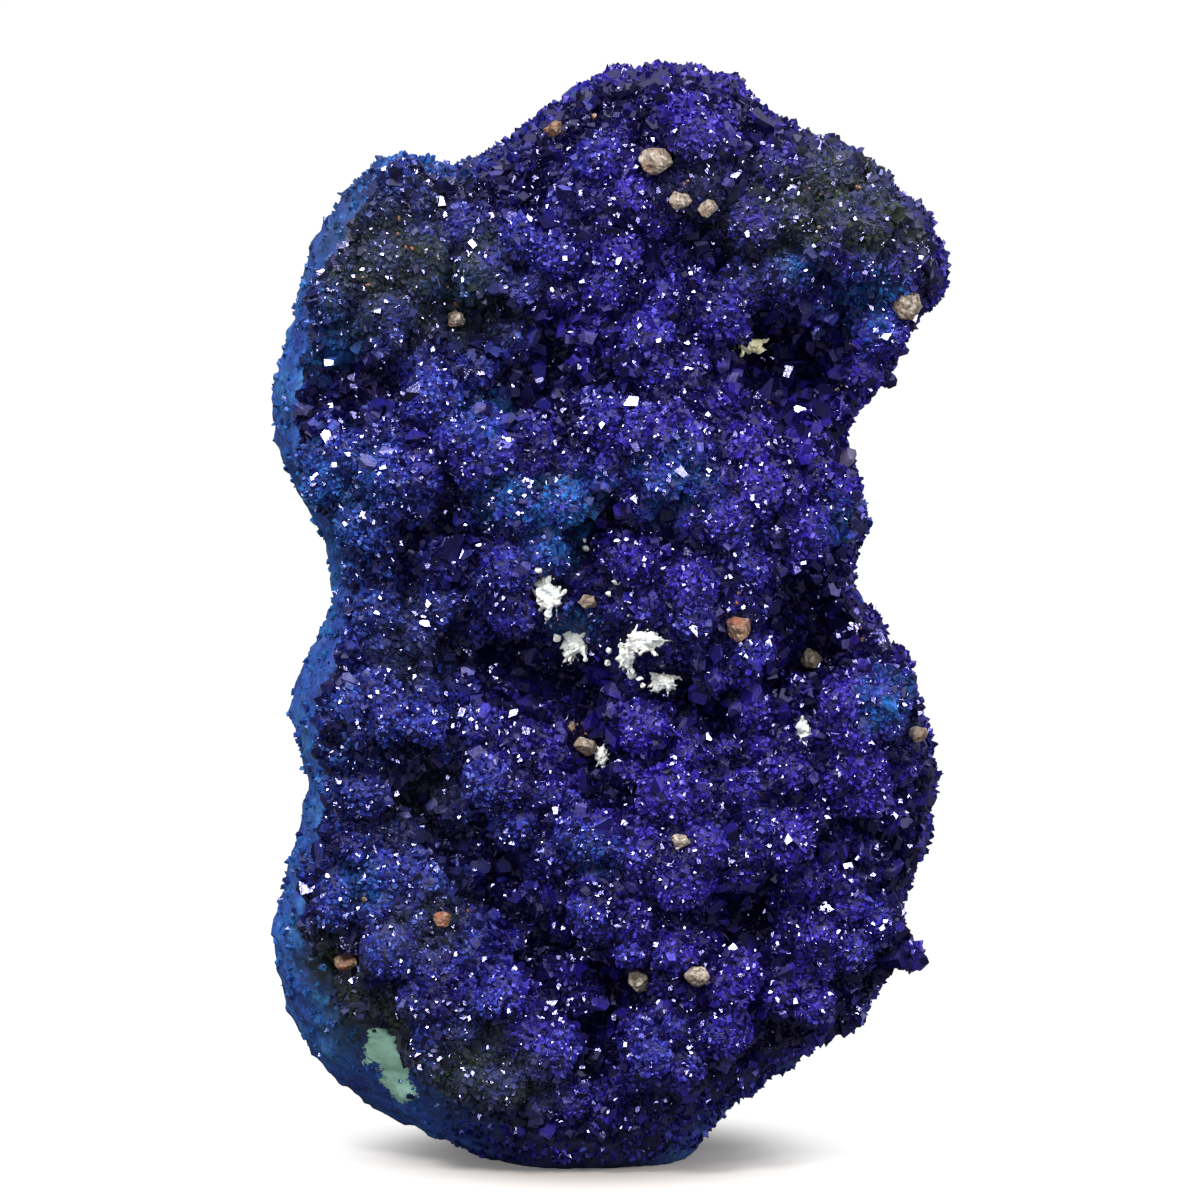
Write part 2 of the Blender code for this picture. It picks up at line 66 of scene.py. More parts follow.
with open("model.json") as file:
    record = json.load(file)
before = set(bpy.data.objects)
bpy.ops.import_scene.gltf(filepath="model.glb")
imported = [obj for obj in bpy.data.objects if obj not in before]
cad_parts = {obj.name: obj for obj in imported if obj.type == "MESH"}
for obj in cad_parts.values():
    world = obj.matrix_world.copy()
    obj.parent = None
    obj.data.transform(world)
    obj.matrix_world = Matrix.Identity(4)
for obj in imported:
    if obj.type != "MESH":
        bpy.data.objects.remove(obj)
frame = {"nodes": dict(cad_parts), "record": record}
CAD_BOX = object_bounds()

MM = 1000.0  # millimetres in a metre
ROOM_AROUND = (0.6, 0.3, 1.0)  # how far rosettes may stand out of the solids' box, in millimetres
SPILL_REACH = 7.0  # how far the druse spills over the rind, in millimetres
BARE_SIDE_SPILL = 0.2  # share of that spill on the stone's left
FINE_PIECES = 4  # the fine crystals are joined in so many pieces, from the foot up
CLAY_SHRINK = 0.68  # size of a clay bit's body, from which its arms reach out to its full size
CLAY_VOXEL = 0.07  # size of a clay bit's facets, in millimetres
CLAY_SEED, GRAIN_SEED = 3, 9
PANE_WOBBLE = 0.012  # how far off a mirroring face may lean
SOFT_BOX = 0.2  # a lamp wider than this, in metres, gives no glints

# Where stains lie on the front, as (x, z, radius, strength) in millimetres.
OLIVE_STAINS = [
    (-14.2, 12.0, 2.0, 1.0), (-12.0, 8.4, 2.4, 0.9), (-6.6, 6.0, 3.0, 0.9), (-3.0, 5.2, 1.8, 0.7),
    (-10.8, 50.4, 4.6, 0.8), (-6.0, 49.0, 3.0, 0.5), (13.4, 54.4, 3.2, 1.0), (16.6, 52.0, 2.2, 0.8),
    (10.6, 51.8, 3.0, 0.6), (-8.8, 14.2, 2.4, 0.5), (6.4, 55.2, 2.6, 0.4), (-9.4, 29.6, 2.6, 0.35),
    (-9.0, 21.0, 2.6, 0.4),
]
MALACHITE_STAINS = [(-10.9, 6.2, 1.5, 1.0), (-10.2, 4.4, 1.1, 0.9), (-11.6, 7.4, 0.9, 0.8)]
SKY_SPOTS = [
    (-1.4, 37.2, 1.7, 1.4), (-1.8, 35.2, 1.4, 1.0), (0.2, 38.4, 1.2, 0.5), (-7.2, 48.8, 1.4, 0.5),
    (-12.0, 16.4, 1.4, 0.7), (16.2, 26.6, 1.6, 0.7), (-5.6, 42.0, 1.6, 0.4), (11.6, 50.4, 1.0, 0.9),
    (15.4, 48.4, 2.2, 0.6), (-0.8, 30.6, 1.4, 0.8), (14.0, 36.4, 1.6, 0.4), (4.6, 38.8, 2.2, 0.5),
    (-12.6, 38.6, 2.2, 0.4), (0.6, 18.4, 1.2, 0.4), (-4.4, 37.6, 1.6, 0.7), (-14.2, 46.0, 1.6, 0.6),
    (-16.4, 37.5, 2.6, 1.2), (-15.0, 34.8, 1.8, 1.0),
]

# Where the stone's outline is drawn in or out, as (x, z, radius, x shift, z shift) in millimetres.
TRIMS = [
    (12.8, 59.6, 4.0, -0.8, -2.0), (9.4, 61.2, 2.4, -0.2, -0.4), (17.6, 56.4, 2.8, -0.4, -0.5),
    (17.2, 42.4, 6.5, -1.3, 0.0), (17.0, 31.6, 3.0, -1.5, 0.0), (-13.2, 55.8, 2.6, 0.6, -0.8),
    (-5.0, 58.0, 2.6, 0.2, -0.6), (-11.0, 3.0, 5.5, -0.9, -0.8), (19.6, 11.8, 1.9, -1.0, 0.1),
    (-2.6, 59.6, 2.6, 0.5, -0.3), (19.2, 10.0, 1.6, -1.1, 0.8), (3.6, 61.0, 2.4, 0.0, -0.6),
    (16.0, 34.0, 2.0, -0.7, 0.0), (19.6, 48.1, 2.0, 0.4, 0.0), (18.2, 15.7, 2.2, 0.6, 0.0),
    (-16.2, 47.1, 2.2, 0.6, 0.0), (-14.6, 54.8, 2.4, 0.4, 0.0), (18.5, 10.3, 1.4, -0.8, 0.6),
]
# Small pieces whose looks stand a little beside their solid, where the picture shows them.
NUDGES = {
    "clay_cave": (0.0, -0.9, 0.2), "grain_rust": (0.0, -0.2, 0.9), "grain_heart": (0.0, -0.1, 0.4),
    "clay_lower_left": (0.1, -0.8, 0.9), "clay_ledge": (0.2, -0.1, 0.4), "clay_middle": (0.2, -0.2, 0.9),
    "clay_lower_right": (0.1, -0.2, 0.3),
}
# Height and width of the one crystal that stands out of the right edge, in millimetres.
EDGE_TIP = (40.2, 1.2)
# Where the druse grew coarse, as (x, z, radius, strength) in millimetres.
COARSE_SPOTS = [
    (12.0, 42.6, 4.5, 1.0), (-4.5, 27.0, 2.6, 0.7), (3.0, 26.5, 2.6, 0.6), (0.5, 19.0, 3.0, 0.5),
    (-11.0, 16.0, 2.5, 0.4), (9.5, 45.5, 3.0, 0.6),
]
PICTURE_MIDDLE = 0.7  # x of the picture's middle, in millimetres
# Crystals whose end face mirrors a lamp to the camera, as (x, z, width) in millimetres, where x is
# from the picture's middle.
PANES = [
    (7.6, 54.8, 0.7), (1.8, 41.9, 1.1), (-2.3, 19.3, 0.8), (10.6, 17.5, 0.8), (-9.6, 29.7, 0.8),
    (15.9, 45.7, 0.8), (11.5, 48.5, 0.8), (-4.8, 24.6, 0.7), (-1.6, 34.1, 0.7), (6.5, 55.3, 0.5),
    (-9.4, 54.5, 0.6), (-3.8, 52.3, 0.5), (-9.5, 30.8, 0.6), (1.1, 50.0, 0.6), (-10.0, 18.1, 0.7),
    (11.0, 31.5, 0.6), (10.9, 8.5, 0.5), (-5.0, 40.0, 0.6), (-12.0, 38.4, 0.5), (-3.6, 13.6, 0.5),
    (-13.9, 39.2, 0.5), (-12.3, 47.1, 0.5), (0.5, 36.3, 0.5), (0.2, 40.8, 0.5), (14.0, 33.5, 0.5),
    (11.6, 40.3, 0.5), (-8.5, 52.5, 0.5), (17.5, 48.4, 0.5), (15.9, 44.4, 0.5), (15.8, 12.7, 0.5),
    (-13.9, 52.9, 0.5), (-15.2, 15.6, 0.5), (8.2, 51.5, 0.5), (-7.2, 54.3, 0.4), (13.2, 46.5, 0.6),
    (7.5, 12.4, 0.5), (9.1, 43.7, 0.5), (-9.2, 24.2, 0.4), (8.6, 36.8, 0.5), (4.0, 19.0, 0.4),
]
# Sand and clay in specks too small to be pieces of their own: least and greatest radius, and the
# (x, z) places, in millimetres, where x is from the picture's middle.
SPECKS = {
    "ochre": (0.06, 0.17, [
        (11.6, 54.1), (13.1, 54.0), (13.9, 52.9), (13.5, 44.3), (-2.6, 58.4), (-0.3, 58.1), (12.4, 52.0),
        (-11.2, 51.6), (-10.4, 50.8), (-9.6, 52.0), (-12.9, 48.8), (-8.0, 47.7), (-3.9, 10.1),
        (-7.4, 13.4), (-14.2, 13.6), (-13.1, 14.4), (5.8, 29.4), (-0.8, 23.7), (16.4, 47.2), (4.9, 54.6),
        (9.4, 42.2), (13.4, 43.2), (2.0, 12.2), (-9.0, 19.6), (7.7, 31.6), (14.6, 29.0),
    ]),
    "sand": (0.16, 0.36, [(17.9, 46.6), (17.3, 45.0), (16.9, 43.9), (-3.2, 31.2), (-1.6, 24.0)]),
    "clay": (0.10, 0.26, [
        (-2.4, 29.1), (1.6, 30.4), (1.8, 27.2), (2.4, 26.4), (-0.8, 34.1), (-0.4, 34.5), (-0.2, 33.9),
        (0.9, 32.2), (0.4, 27.7), (-3.4, 32.9),
    ]),
}
# The lamps, as (name, place and width in metres, watts): two soft boxes, and small bare lamps that
# the crystals' faces glint with.
LAMPS = [
    ("key", (-0.16, -0.34, 0.46), 0.10, 2.4), ("overhead", (0.03, -0.04, 0.60), 0.80, 3.0),
    ("right", (0.42, -0.22, 0.20), 0.07, 1.0), ("front", (0.05, -0.60, 0.10), 0.05, 0.45),
    ("left", (-0.38, -0.40, 0.20), 0.05, 0.55), ("upper_right", (0.24, -0.42, 0.38), 0.05, 0.55),
    ("upper_front", (-0.04, -0.50, 0.50), 0.05, 0.5),
]


def linear(hex_colour):
    """An sRGB colour such as "#2A1FB5" as a linear RGBA tuple."""
    parts = [int(hex_colour[i : i + 2], 16) / 255 for i in (1, 3, 5)]
    return tuple(c / 12.92 if c <= 0.04045 else ((c + 0.055) / 1.055) ** 2.4 for c in parts) + (1.0,)


def per_mm(size):
    """The scale at which a texture on metre coordinates repeats about every size millimetres."""
    return MM / size


def feed(node, *values, **named):
    """Sets a node's inputs, or links them where the value is a socket: those in use in their order,
    then the named ones, in whose names an underscore stands for a space."""
    pairs = list(zip([s for s in node.inputs if s.enabled], values))
    pairs += [(node.inputs[name.replace("_", " ")], value) for name, value in named.items()]
    for socket, value in pairs:
        if isinstance(value, bpy.types.NodeSocket):
            node.id_data.links.new(value, socket)
        else:
            socket.default_value = value


def add_node(tree, kind, *values, output=None, **named):
    """Adds a node of that kind, and gives the output named, or else its first in use. Names in
    lower case are the node's own settings, and values and the other names go to its inputs."""
    made = tree.nodes.new("ShaderNode" + kind)
    for name in [n for n in named if n.islower()]:
        setattr(made, name, named.pop(name))
    feed(made, *values, **named)
    return made.outputs[output] if output else next(s for s in made.outputs if s.enabled)


def new_material(name):
    """A material, its node tree, its shader, and the place in the object as a socket."""
    made = bpy.data.materials.new(name)
    made.use_nodes = True
    tree = made.node_tree
    return made, tree, tree.nodes["Principled BSDF"], add_node(tree, "TexCoord", output="Object")


# Meshes

def trimmed(points):
    """Points of the stone, in millimetres, moved to follow the outline that its crystals fill: in a
    little at the top and the right, and by TRIMS."""
    points = points.copy()
    points[:, 0] -= 0.6 * np.clip((points[:, 0] - 8) / 8, 0, 1)
    points[:, 2] -= 0.35 * np.clip((points[:, 2] - 48) / 10, 0, 1)
    for x, z, radius, x_shift, z_shift in TRIMS:
        away = np.hypot(points[:, 0] - x, points[:, 2] - z) / radius
        share = np.clip(1 - away**2, 0, 1) ** 2
        points[:, 0] += x_shift * share
        points[:, 2] += z_shift * share
    points[:, 2] = np.maximum(points[:, 2], 0)
    return points


def copy_in_mm(node):
    """A bmesh of the CAD node's mesh, in millimetres and trimmed, with its seams welded."""
    bm = bmesh.new()
    bm.from_mesh(frame["nodes"][node].data)
    bmesh.ops.scale(bm, vec=(MM, MM, MM), verts=bm.verts)
    bmesh.ops.remove_doubles(bm, verts=bm.verts, dist=0.0001)
    for v, place in zip(bm.verts, trimmed(np.array([v.co for v in bm.verts]))):
        v.co = place
    return bm


def mesh_from(name, points, loops, sizes):
    """A mesh from its points and faces. loops names the faces' points one face after another, and
    sizes says how many each face has."""
    mesh = bpy.data.meshes.new(name)
    mesh.vertices.add(len(points))
    mesh.loops.add(len(loops))
    mesh.polygons.add(len(sizes))
    mesh.vertices.foreach_set("co", points.astype(np.float32).ravel())
    mesh.loops.foreach_set("vertex_index", loops.astype(np.int32))
    starts = np.concatenate([[0], np.cumsum(sizes)[:-1]])
    mesh.polygons.foreach_set("loop_start", starts.astype(np.int32))
    mesh.update(calc_edges=True)
    return mesh


def points_and_faces(bm):
    """The mesh's points and its faces, and an end to the bmesh."""
    bmesh.ops.remove_doubles(bm, verts=bm.verts, dist=0.001)
    bmesh.ops.recalc_face_normals(bm, faces=bm.faces)
    points = np.array([v.co for v in bm.verts])
    faces = [[v.index for v in f.verts] for f in bm.faces]
    bm.free()
    return points, faces


def add_balls(bm, centres, radii, subdivisions=2):
    """Adds a ball for each centre and radius. Remeshing fuses them with what they touch."""
    ball = bmesh.new()
    bmesh.ops.create_icosphere(ball, subdivisions=subdivisions, radius=1.0)
    shape, faces = points_and_faces(ball)
    points = shape[None] * radii[:, None, None] + centres[:, None]
    first = len(shape) * np.arange(len(radii))
    loops = first[:, None] + np.concatenate(faces)[None]
    sizes = np.full(len(radii) * len(faces), 3)
    bm.from_mesh(mesh_from("balls", points.reshape(-1, 3), loops.ravel(), sizes))


def mesh_of(bm, name):
    mesh = bpy.data.meshes.new(name)
    bm.to_mesh(mesh)
    bm.free()
    return mesh


def remeshed(mesh, voxel):
    """mesh built again from even voxels, as a new mesh."""
    rough = bpy.data.objects.new("rough", mesh)
    bpy.context.scene.collection.objects.link(rough)
    change = rough.modifiers.new("Even", "REMESH")
    change.mode = "VOXEL"
    change.voxel_size = voxel
    graph = bpy.context.evaluated_depsgraph_get()
    made = bpy.data.meshes.new_from_object(rough.evaluated_get(graph))
    bpy.data.objects.remove(rough)
    return made


def points_and_normals(mesh):
    count = len(mesh.vertices)
    points, normals = np.empty(count * 3, np.float32), np.empty(count * 3, np.float32)
    mesh.vertices.foreach_get("co", points)
    mesh.vertices.foreach_get("normal", normals)
    return points.reshape(-1, 3).astype(float), normals.reshape(-1, 3).astype(float)


def set_points(mesh, points):
    mesh.vertices.foreach_set("co", points.astype(np.float32).ravel())
    mesh.update()


def grape(point, size):
    """Height of a relief of rounded lumps about size across: 1 on a lump's top, 0 in the creases."""
    nearest = noise.voronoi(Vector(point) / size, distance_metric="DISTANCE", exponent=2.5)[0][0]
    return max(0.0, 1.0 - nearest * nearest * 1.6)


def set_growth(mesh, channels, domain="POINT"):
    """Stores numbers per point, or per face corner, as the colour attribute "growth", which the
    materials read."""
    attribute = mesh.color_attributes.new("growth", "FLOAT_COLOR", domain)
    rgba = np.ones((len(attribute.data), 4), np.float32)
    rgba[:, : channels.shape[1]] = channels
    attribute.data.foreach_set("color", rgba.ravel())


def finish_piece(name, mesh, material, slot, nodes):
    """The mesh as a piece of the object, in metres. It stands for those CAD nodes."""
    mesh.name = name
    mesh.transform(Matrix.Scale(1 / MM, 4))
    mesh.materials.clear()
    mesh.materials.append(material)
    piece = bpy.data.objects.new(name, mesh)
    bpy.context.scene.collection.objects.link(piece)
    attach(piece, "root")
    if nodes:
        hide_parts(*nodes)
    return piece


# Where things lie on the druse

def spots_at(points, spots, ragged=0.45):
    """Strength from 0 to 1 at each point of spots given as (x, z, radius, strength), with ragged
    edges."""
    total = np.zeros(len(points))
    for x, z, radius, strength in spots:
        away = np.hypot(points[:, 0] - x, points[:, 2] - z) / radius
        near = away < 1.6
        if not near.any():
            continue
        wobble = np.array([noise.noise(Vector(p) * 0.9) for p in points[near]])
        total[near] += strength * np.clip(1.35 - away[near] + ragged * wobble, 0, 1)
    return np.clip(total, 0, 1)


def clear_of_small_pieces(places, margins):
    """Which places lie outside the clay and the grains by a margin, as seen from the front. A
    negative margin lets them lie that far inside the edge."""
    clear = np.ones(len(places), bool)
    for name in frame["nodes"]:
        if name.startswith(("clay", "grain")):
            low, high = (np.array(corner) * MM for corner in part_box(name))
            half = np.maximum((high - low)[[0, 2]] / 2 + margins[:, None], 0.15)
            middle = trimmed((low + high)[None] / 2) + np.array(NUDGES.get(name, (0, 0, 0)))
            clear &= np.linalg.norm((places - middle)[:, [0, 2]] / half, axis=1) > 1
    return clear


def height_over(tree, points, reach=3.0):
    """How far each point is outside the tree's surface, or inside it where negative."""
    heights = np.full(len(points), reach)
    for i, point in enumerate(points):
        place, normal, _, away = tree.find_nearest(Vector(point), reach)
        if place is not None:
            heights[i] = math.copysign(away, (Vector(point) - place).dot(normal))
    return heights


class Surface:
    """A mesh's triangles, for scattering things over them."""

    def __init__(self, mesh, backing=None):
        mesh.calc_loop_triangles()
        corners = np.empty(len(mesh.loop_triangles) * 3, np.int32)
        mesh.loop_triangles.foreach_get("vertices", corners)
        points, _ = points_and_normals(mesh)
        corners = corners.reshape(-1, 3)
        self.tree = BVHTree.FromPolygons([tuple(p) for p in points], corners.tolist())
        self.corners = points[corners]
        self.middles = self.corners.mean(1)
        a, b, c = self.corners[:, 0], self.corners[:, 1], self.corners[:, 2]
        across = np.cross(b - a, c - a)
        doubled = np.linalg.norm(across, axis=1)
        self.normals = across / np.maximum(doubled[:, None], 1e-12)
        self.chances = doubled
        if backing:
            self.leave_out_backed(backing)

    def leave_out_backed(self, backing, clear=0.42):
        """Lets nothing grow on the triangles that are pressed against the tree backing."""
        for i, (middle, normal) in enumerate(zip(self.middles, self.normals)):
            if normal[1] > 0.6:
                self.chances[i] = 0.0
            elif normal[1] > -0.25 and backing.find_nearest(Vector(middle), clear)[0] is not None:
                self.chances[i] = 0.0

    def scatter(self, rng, count, spacing, weights=1.0):
        """Up to count points with their normals, few of them nearer to another than spacing."""
        chances = self.chances * weights
        picked = rng.choice(len(chances), size=int(count * 1.7), p=chances / chances.sum())
        a, b = np.sqrt(rng.random(len(picked))), rng.random(len(picked))
        share = np.stack([1 - a, a * (1 - b), a * b], 1)
        points = (self.corners[picked] * share[:, :, None]).sum(1)
        _, first = np.unique(np.floor(points / spacing).astype(int), axis=0, return_index=True)
        first = rng.permutation(first)[:count]
        return points[first], self.normals[picked][first]


class Druse:
    """The crust with its rosettes: the bed that crystals grow from, and how sunken each place is."""

    def __init__(self, settings, rng):
        self.rind = BVHTree.FromBMesh(copy_in_mm("rind"))
        plain = mesh_of(copy_in_mm("crystal_crust"), "plain")
        self.plain = Surface(plain, self.rind)
        self.map_relief()
        self.mesh = self.with_rosettes(plain, settings, rng)
        self.bed = Surface(self.mesh, self.rind)

    def map_relief(self, step=0.5, reach=7):
        """Notes how far each spot of the front lies behind its surroundings, on a grid."""
        self.step, self.low = step, np.array([-19.0, -1.0])
        depth = np.full((80, 128), np.nan)
        for i, j in np.ndindex(*depth.shape):
            origin = Vector((self.low[0] + i * step, -40.0, self.low[1] + j * step))
            hit = self.plain.tree.ray_cast(origin, Vector((0, 1, 0)))[0]
            if hit:
                depth[i, j] = hit.y
        known = ~np.isnan(depth)
        total, weight = np.where(known, depth, 0.0), known.astype(float)
        kernel = np.ones(2 * reach + 1)
        for axis in (0, 1, 0, 1):
            total = np.apply_along_axis(np.convolve, axis, total, kernel, "same")
            weight = np.apply_along_axis(np.convolve, axis, weight, kernel, "same")
        self.relief = np.where(known, depth - total / np.maximum(weight, 1e-9), 0.0)

    def relief_at(self, points):
        """From -1 on a lobe to 1 deep in a hollow."""
        cell = ((points[:, [0, 2]] - self.low) / self.step).round().astype(int)
        cell = np.clip(cell, 0, np.array(self.relief.shape) - 1)
        return np.clip(self.relief[cell[:, 0], cell[:, 1]] / 1.8, -1, 1)

    def sunken_at(self, points):
        """From 0 on top of a rosette to 1 in a crease or a hollow."""
        crease = np.clip((0.15 - height_over(self.plain.tree, points)) / 0.5, 0, 1)
        return np.clip(0.8 * np.maximum(self.relief_at(points), 0) + 0.75 * crease, 0, 1)

    def thickness(self, place, normal):
        """How thick the crust is below a place on its surface, at most 5 mm."""
        away = self.plain.tree.ray_cast(place - normal * 0.01, -normal, 5.0)[3]
        return 5.0 if away is None else away

    def with_rosettes(self, plain, settings, rng):
        """The crust's surface, sunk a little, with round rosettes on it."""
        bm = bmesh.new()
        bm.from_mesh(plain)
        bm.normal_update()
        for v, normal in [(v, v.normal.copy()) for v in bm.verts]:
            if normal.y < 0.4:
                v.co -= normal * settings.sunk
        places, normals = self.plain.scatter(rng, 9000, 0.25)
        radii = settings.rosette * (0.45 + 1.15 * rng.random(len(places)) ** 2.4)
        at_edge = np.array([self.rind.find_nearest(Vector(p))[3] for p in places])
        thick = np.array([self.thickness(Vector(p), Vector(n)) for p, n in zip(places, normals)])
        radii = np.minimum(radii, 0.35 + 0.35 * np.minimum(at_edge, thick))
        crowded = rng.random(len(places)) < 0.8 * np.clip(self.relief_at(places) * 1.6, 0, 1)
        crowded |= ~clear_of_small_pieces(places, 0.85 * radii)
        kept = []
        for i in np.argsort(-radii):
            if crowded[i]:
                continue
            apart = np.linalg.norm(places[kept] - places[i], axis=1)
            if (apart > 0.78 * (radii[kept] + radii[i])).all():
                kept.append(i)
        centres = places - normals * (settings.sunk + 0.35 * radii)[:, None]
        low, high = (np.array(corner) * MM for corner in CAD_BOX)
        room = np.array(ROOM_AROUND)
        centres = np.clip(centres, low - room + radii[:, None], high + room - radii[:, None])
        add_balls(bm, centres[kept], radii[kept])
        mesh = remeshed(mesh_of(bm, "bed"), settings.voxel)
        points, normals = points_and_normals(mesh)
        front = normals[:, 1] < 0.5
        height = np.zeros(len(points))
        height[front] = [
            0.16 * (grape(p, 0.75) - 0.5) + 0.10 * noise.noise(Vector(p) * 2.0) for p in points[front]
        ]
        set_points(mesh, points + normals * height[:, None])
        return mesh


# Crystals

def crystal_forms():
    """Small blunt crystals about 1 wide, standing from z = -0.6 to about z = 1, as (points, faces):
    blocks with a slanting top, chisels and pyramids."""
    forms = []
    for top_x, top_y, slant_x, slant_y, high in (
        (0.80, 0.62, 0.45, -0.30, 0.80),
        (0.62, 0.80, -0.35, 0.40, 0.72),
        (0.75, 0.12, 0.30, 0.0, 0.95),
        (0.50, 0.20, -0.5, 0.2, 0.85),
    ):
        bm = bmesh.new()
        bmesh.ops.create_cube(bm, size=1.0)
        for v in bm.verts:
            v.co.y *= 0.8
            if v.co.z > 0:
                x, y = v.co.x * top_x, v.co.y * top_y
                v.co = Vector((x + 0.08, y, high + slant_x * x + slant_y * y))
            else:
                v.co.z = -0.6
        forms.append(points_and_faces(bm))
    for x, y, high in ((0.15, 0.1, 0.95), (-0.3, 0.15, 0.75)):
        bm = bmesh.new()
        bmesh.ops.create_cone(bm, cap_ends=True, segments=4, radius1=0.7, radius2=0.0, depth=1.2)
        for v in bm.verts:
            v.co = Vector((x, y, high)) if v.co.z > 0 else Vector((v.co.x, v.co.y * 0.8, -0.6))
        forms.append(points_and_faces(bm))
    return forms


def cut_off(bm, place, normal):
    """Cuts off what lies beyond a plane, and closes the cut."""
    everything = bm.verts[:] + bm.edges[:] + bm.faces[:]
    made = bmesh.ops.bisect_plane(
        bm, geom=everything, plane_co=place, plane_no=normal, clear_outer=True
    )
    edges = [e for e in made["geom_cut"] if isinstance(e, bmesh.types.BMEdge)]
    bmesh.ops.edgenet_fill(bm, edges=edges)


def large_crystal_forms():
    """Stout prisms cut by slanting end faces, for the crystals that are seen one by one."""
    forms = []
    for segments, flat, tilt, cut in (
        (6, 0.62, 0.5, 0.75), (6, 0.8, -0.35, 0.6), (4, 0.7, 0.25, 0.7), (5, 0.75, 0.6, 0.7),
    ):
        bm = bmesh.new()
        bmesh.ops.create_cone(
            bm, cap_ends=True, segments=segments, radius1=0.56, radius2=0.46, depth=2.4
        )
        for v in bm.verts:
            v.co.y *= flat
            v.co.z += 0.6
        for normal in ((tilt, 0.55, 0.8), (tilt * 0.6, -0.6, 0.75), (-0.9, 0.1, 0.45)):
            cut_off(bm, (0, 0, cut), normal)
        forms.append(points_and_faces(bm))
    return forms


def pane_forms():
    """Short prisms with one broad end face square to their axis."""
    forms = []
    for segments, flat, cut in ((4, 0.5, 0.2), (5, 0.7, 0.1), (6, 0.45, 0.25), (4, 0.8, 0.05)):
        bm = bmesh.new()
        bmesh.ops.create_cone(
            bm, cap_ends=True, segments=segments, radius1=0.70, radius2=0.55, depth=1.4
        )
        bmesh.ops.scale(bm, vec=(1, flat, 1), verts=bm.verts)
        cut_off(bm, (cut, 0, 0), (0.85, 0.5, 0))
        forms.append(points_and_faces(bm))
    return forms


def lengths_of_one(vectors):
    return vectors / np.linalg.norm(vectors, axis=1)[:, None]


def frames_along(axes, turns):
    """A rotation matrix for each axis, with its third column along the axis and turned about it."""
    side = np.where(np.abs(axes[:, 2:3]) < 0.9, [[0.0, 0.0, 1.0]], [[1.0, 0.0, 0.0]])
    x = lengths_of_one(np.cross(side, axes))
    y = np.cross(axes, x)
    c, s = np.cos(turns)[:, None], np.sin(turns)[:, None]
    return np.stack([c * x + s * y, c * y - s * x, axes], 2)


def joined_crystals(name, forms, rng, places, axes, widths, heights, channels):
    """One mesh of a crystal at each place. channels is what each crystal stores as "growth", where
    its third number, the brightness, also differs from face to face. The "OFBake" map gives each
    crystal a cell of its own, so that a bake keeps its colour."""
    count = len(places)
    turned = frames_along(axes, rng.uniform(0, 2 * math.pi, count))
    kinds = rng.integers(0, len(forms), count)
    side = math.ceil(math.sqrt(count))
    points, loops, sizes, uvs, stored = [], [], [], [], []
    start = 0
    for kind, (shape, faces) in enumerate(forms):
        chosen = np.flatnonzero(kinds == kind)
        scaled = shape[None] * np.stack([widths[chosen], widths[chosen], heights[chosen]], 1)[:, None]
        placed = np.einsum("nij,nkj->nki", turned[chosen], scaled) + places[chosen][:, None]
        points.append(placed.reshape(-1, 3))
        order = np.concatenate([np.array(f) for f in faces])
        first = start + len(shape) * np.arange(len(chosen))
        loops.append((first[:, None] + order[None]).ravel())
        lengths = [len(f) for f in faces]
        sizes.append(np.tile(lengths, len(chosen)))
        spread = np.concatenate([np.arange(n) * 2 * math.pi / n for n in lengths])
        around = 0.5 + 0.36 * np.stack([np.cos(spread), np.sin(spread)], 1)
        cell = np.stack([chosen % side, chosen // side], 1)
        uvs.append(((cell[:, None] + around[None]) / side).reshape(-1, 2))
        corner = np.repeat(channels[chosen], len(order), 0)
        tones = np.repeat(rng.random((len(chosen), len(faces))), lengths, 1).ravel()
        mixed = 0.45 * corner[:, 2] + 0.55 * tones
        corner[:, 2] = np.clip(0.5 + 1.9 * (mixed - 0.5), 0, 1)
        stored.append(corner)
        start += len(shape) * len(chosen)
    points, loops, sizes, uvs = (np.concatenate(a) for a in (points, loops, sizes, uvs))
    mesh = mesh_from(name, points, loops, sizes)
    mesh.shade_flat()
    mesh.uv_layers.new(name="OFBake").uv.foreach_set("vector", uvs.astype(np.float32).ravel())
    set_growth(mesh, np.concatenate(stored), "CORNER")
    return mesh


def grown(rng, places, normals, widths, tall, lean, channels):
    """What joined_crystals needs for crystals that grow from those places, leaning at random by
    about lean from the normals. widths is a range, and tall their height as a share of it."""
    axes = lengths_of_one(normals + rng.normal(0, lean, normals.shape))
    width = rng.uniform(*widths, len(places)) * (1 + 0.3 * channels[:, 0])
    return places, axes, width, width * tall * rng.uniform(0.7, 1.4, len(places)), channels


def growth_channels(points, sunken, rng, tone):
    """What the druse's materials read at each point: how sunken it is, which the colour turns into painted
    shade, stain, brightness, itself dimmed as painted shade where sunken, and how free it is of sky-blue
    dust."""
    # Painted shade: brightness falls by up to 0.6 where the place is sunken in a crease or hollow.
    bright = np.clip(tone + rng.uniform(-0.5, 0.5, len(points)), 0, 1) * (1 - 0.6 * sunken)
    sky = 0.95 * spots_at(points, SKY_SPOTS) * rng.random(len(points)) ** 1.4
    stain = spots_at(points, OLIVE_STAINS) * (0.6 + 0.5 * rng.random(len(points)))
    return np.clip(np.stack([sunken, stain, bright, 1 - sky], 1), 0, 1)


# Materials

# Part of the light comes back from inside azurite, which tints all but the brightest reflections.
INNER_BLUE = (0.52, 0.50, 1.0, 1.0)
AZURITE_IOR = 1.76


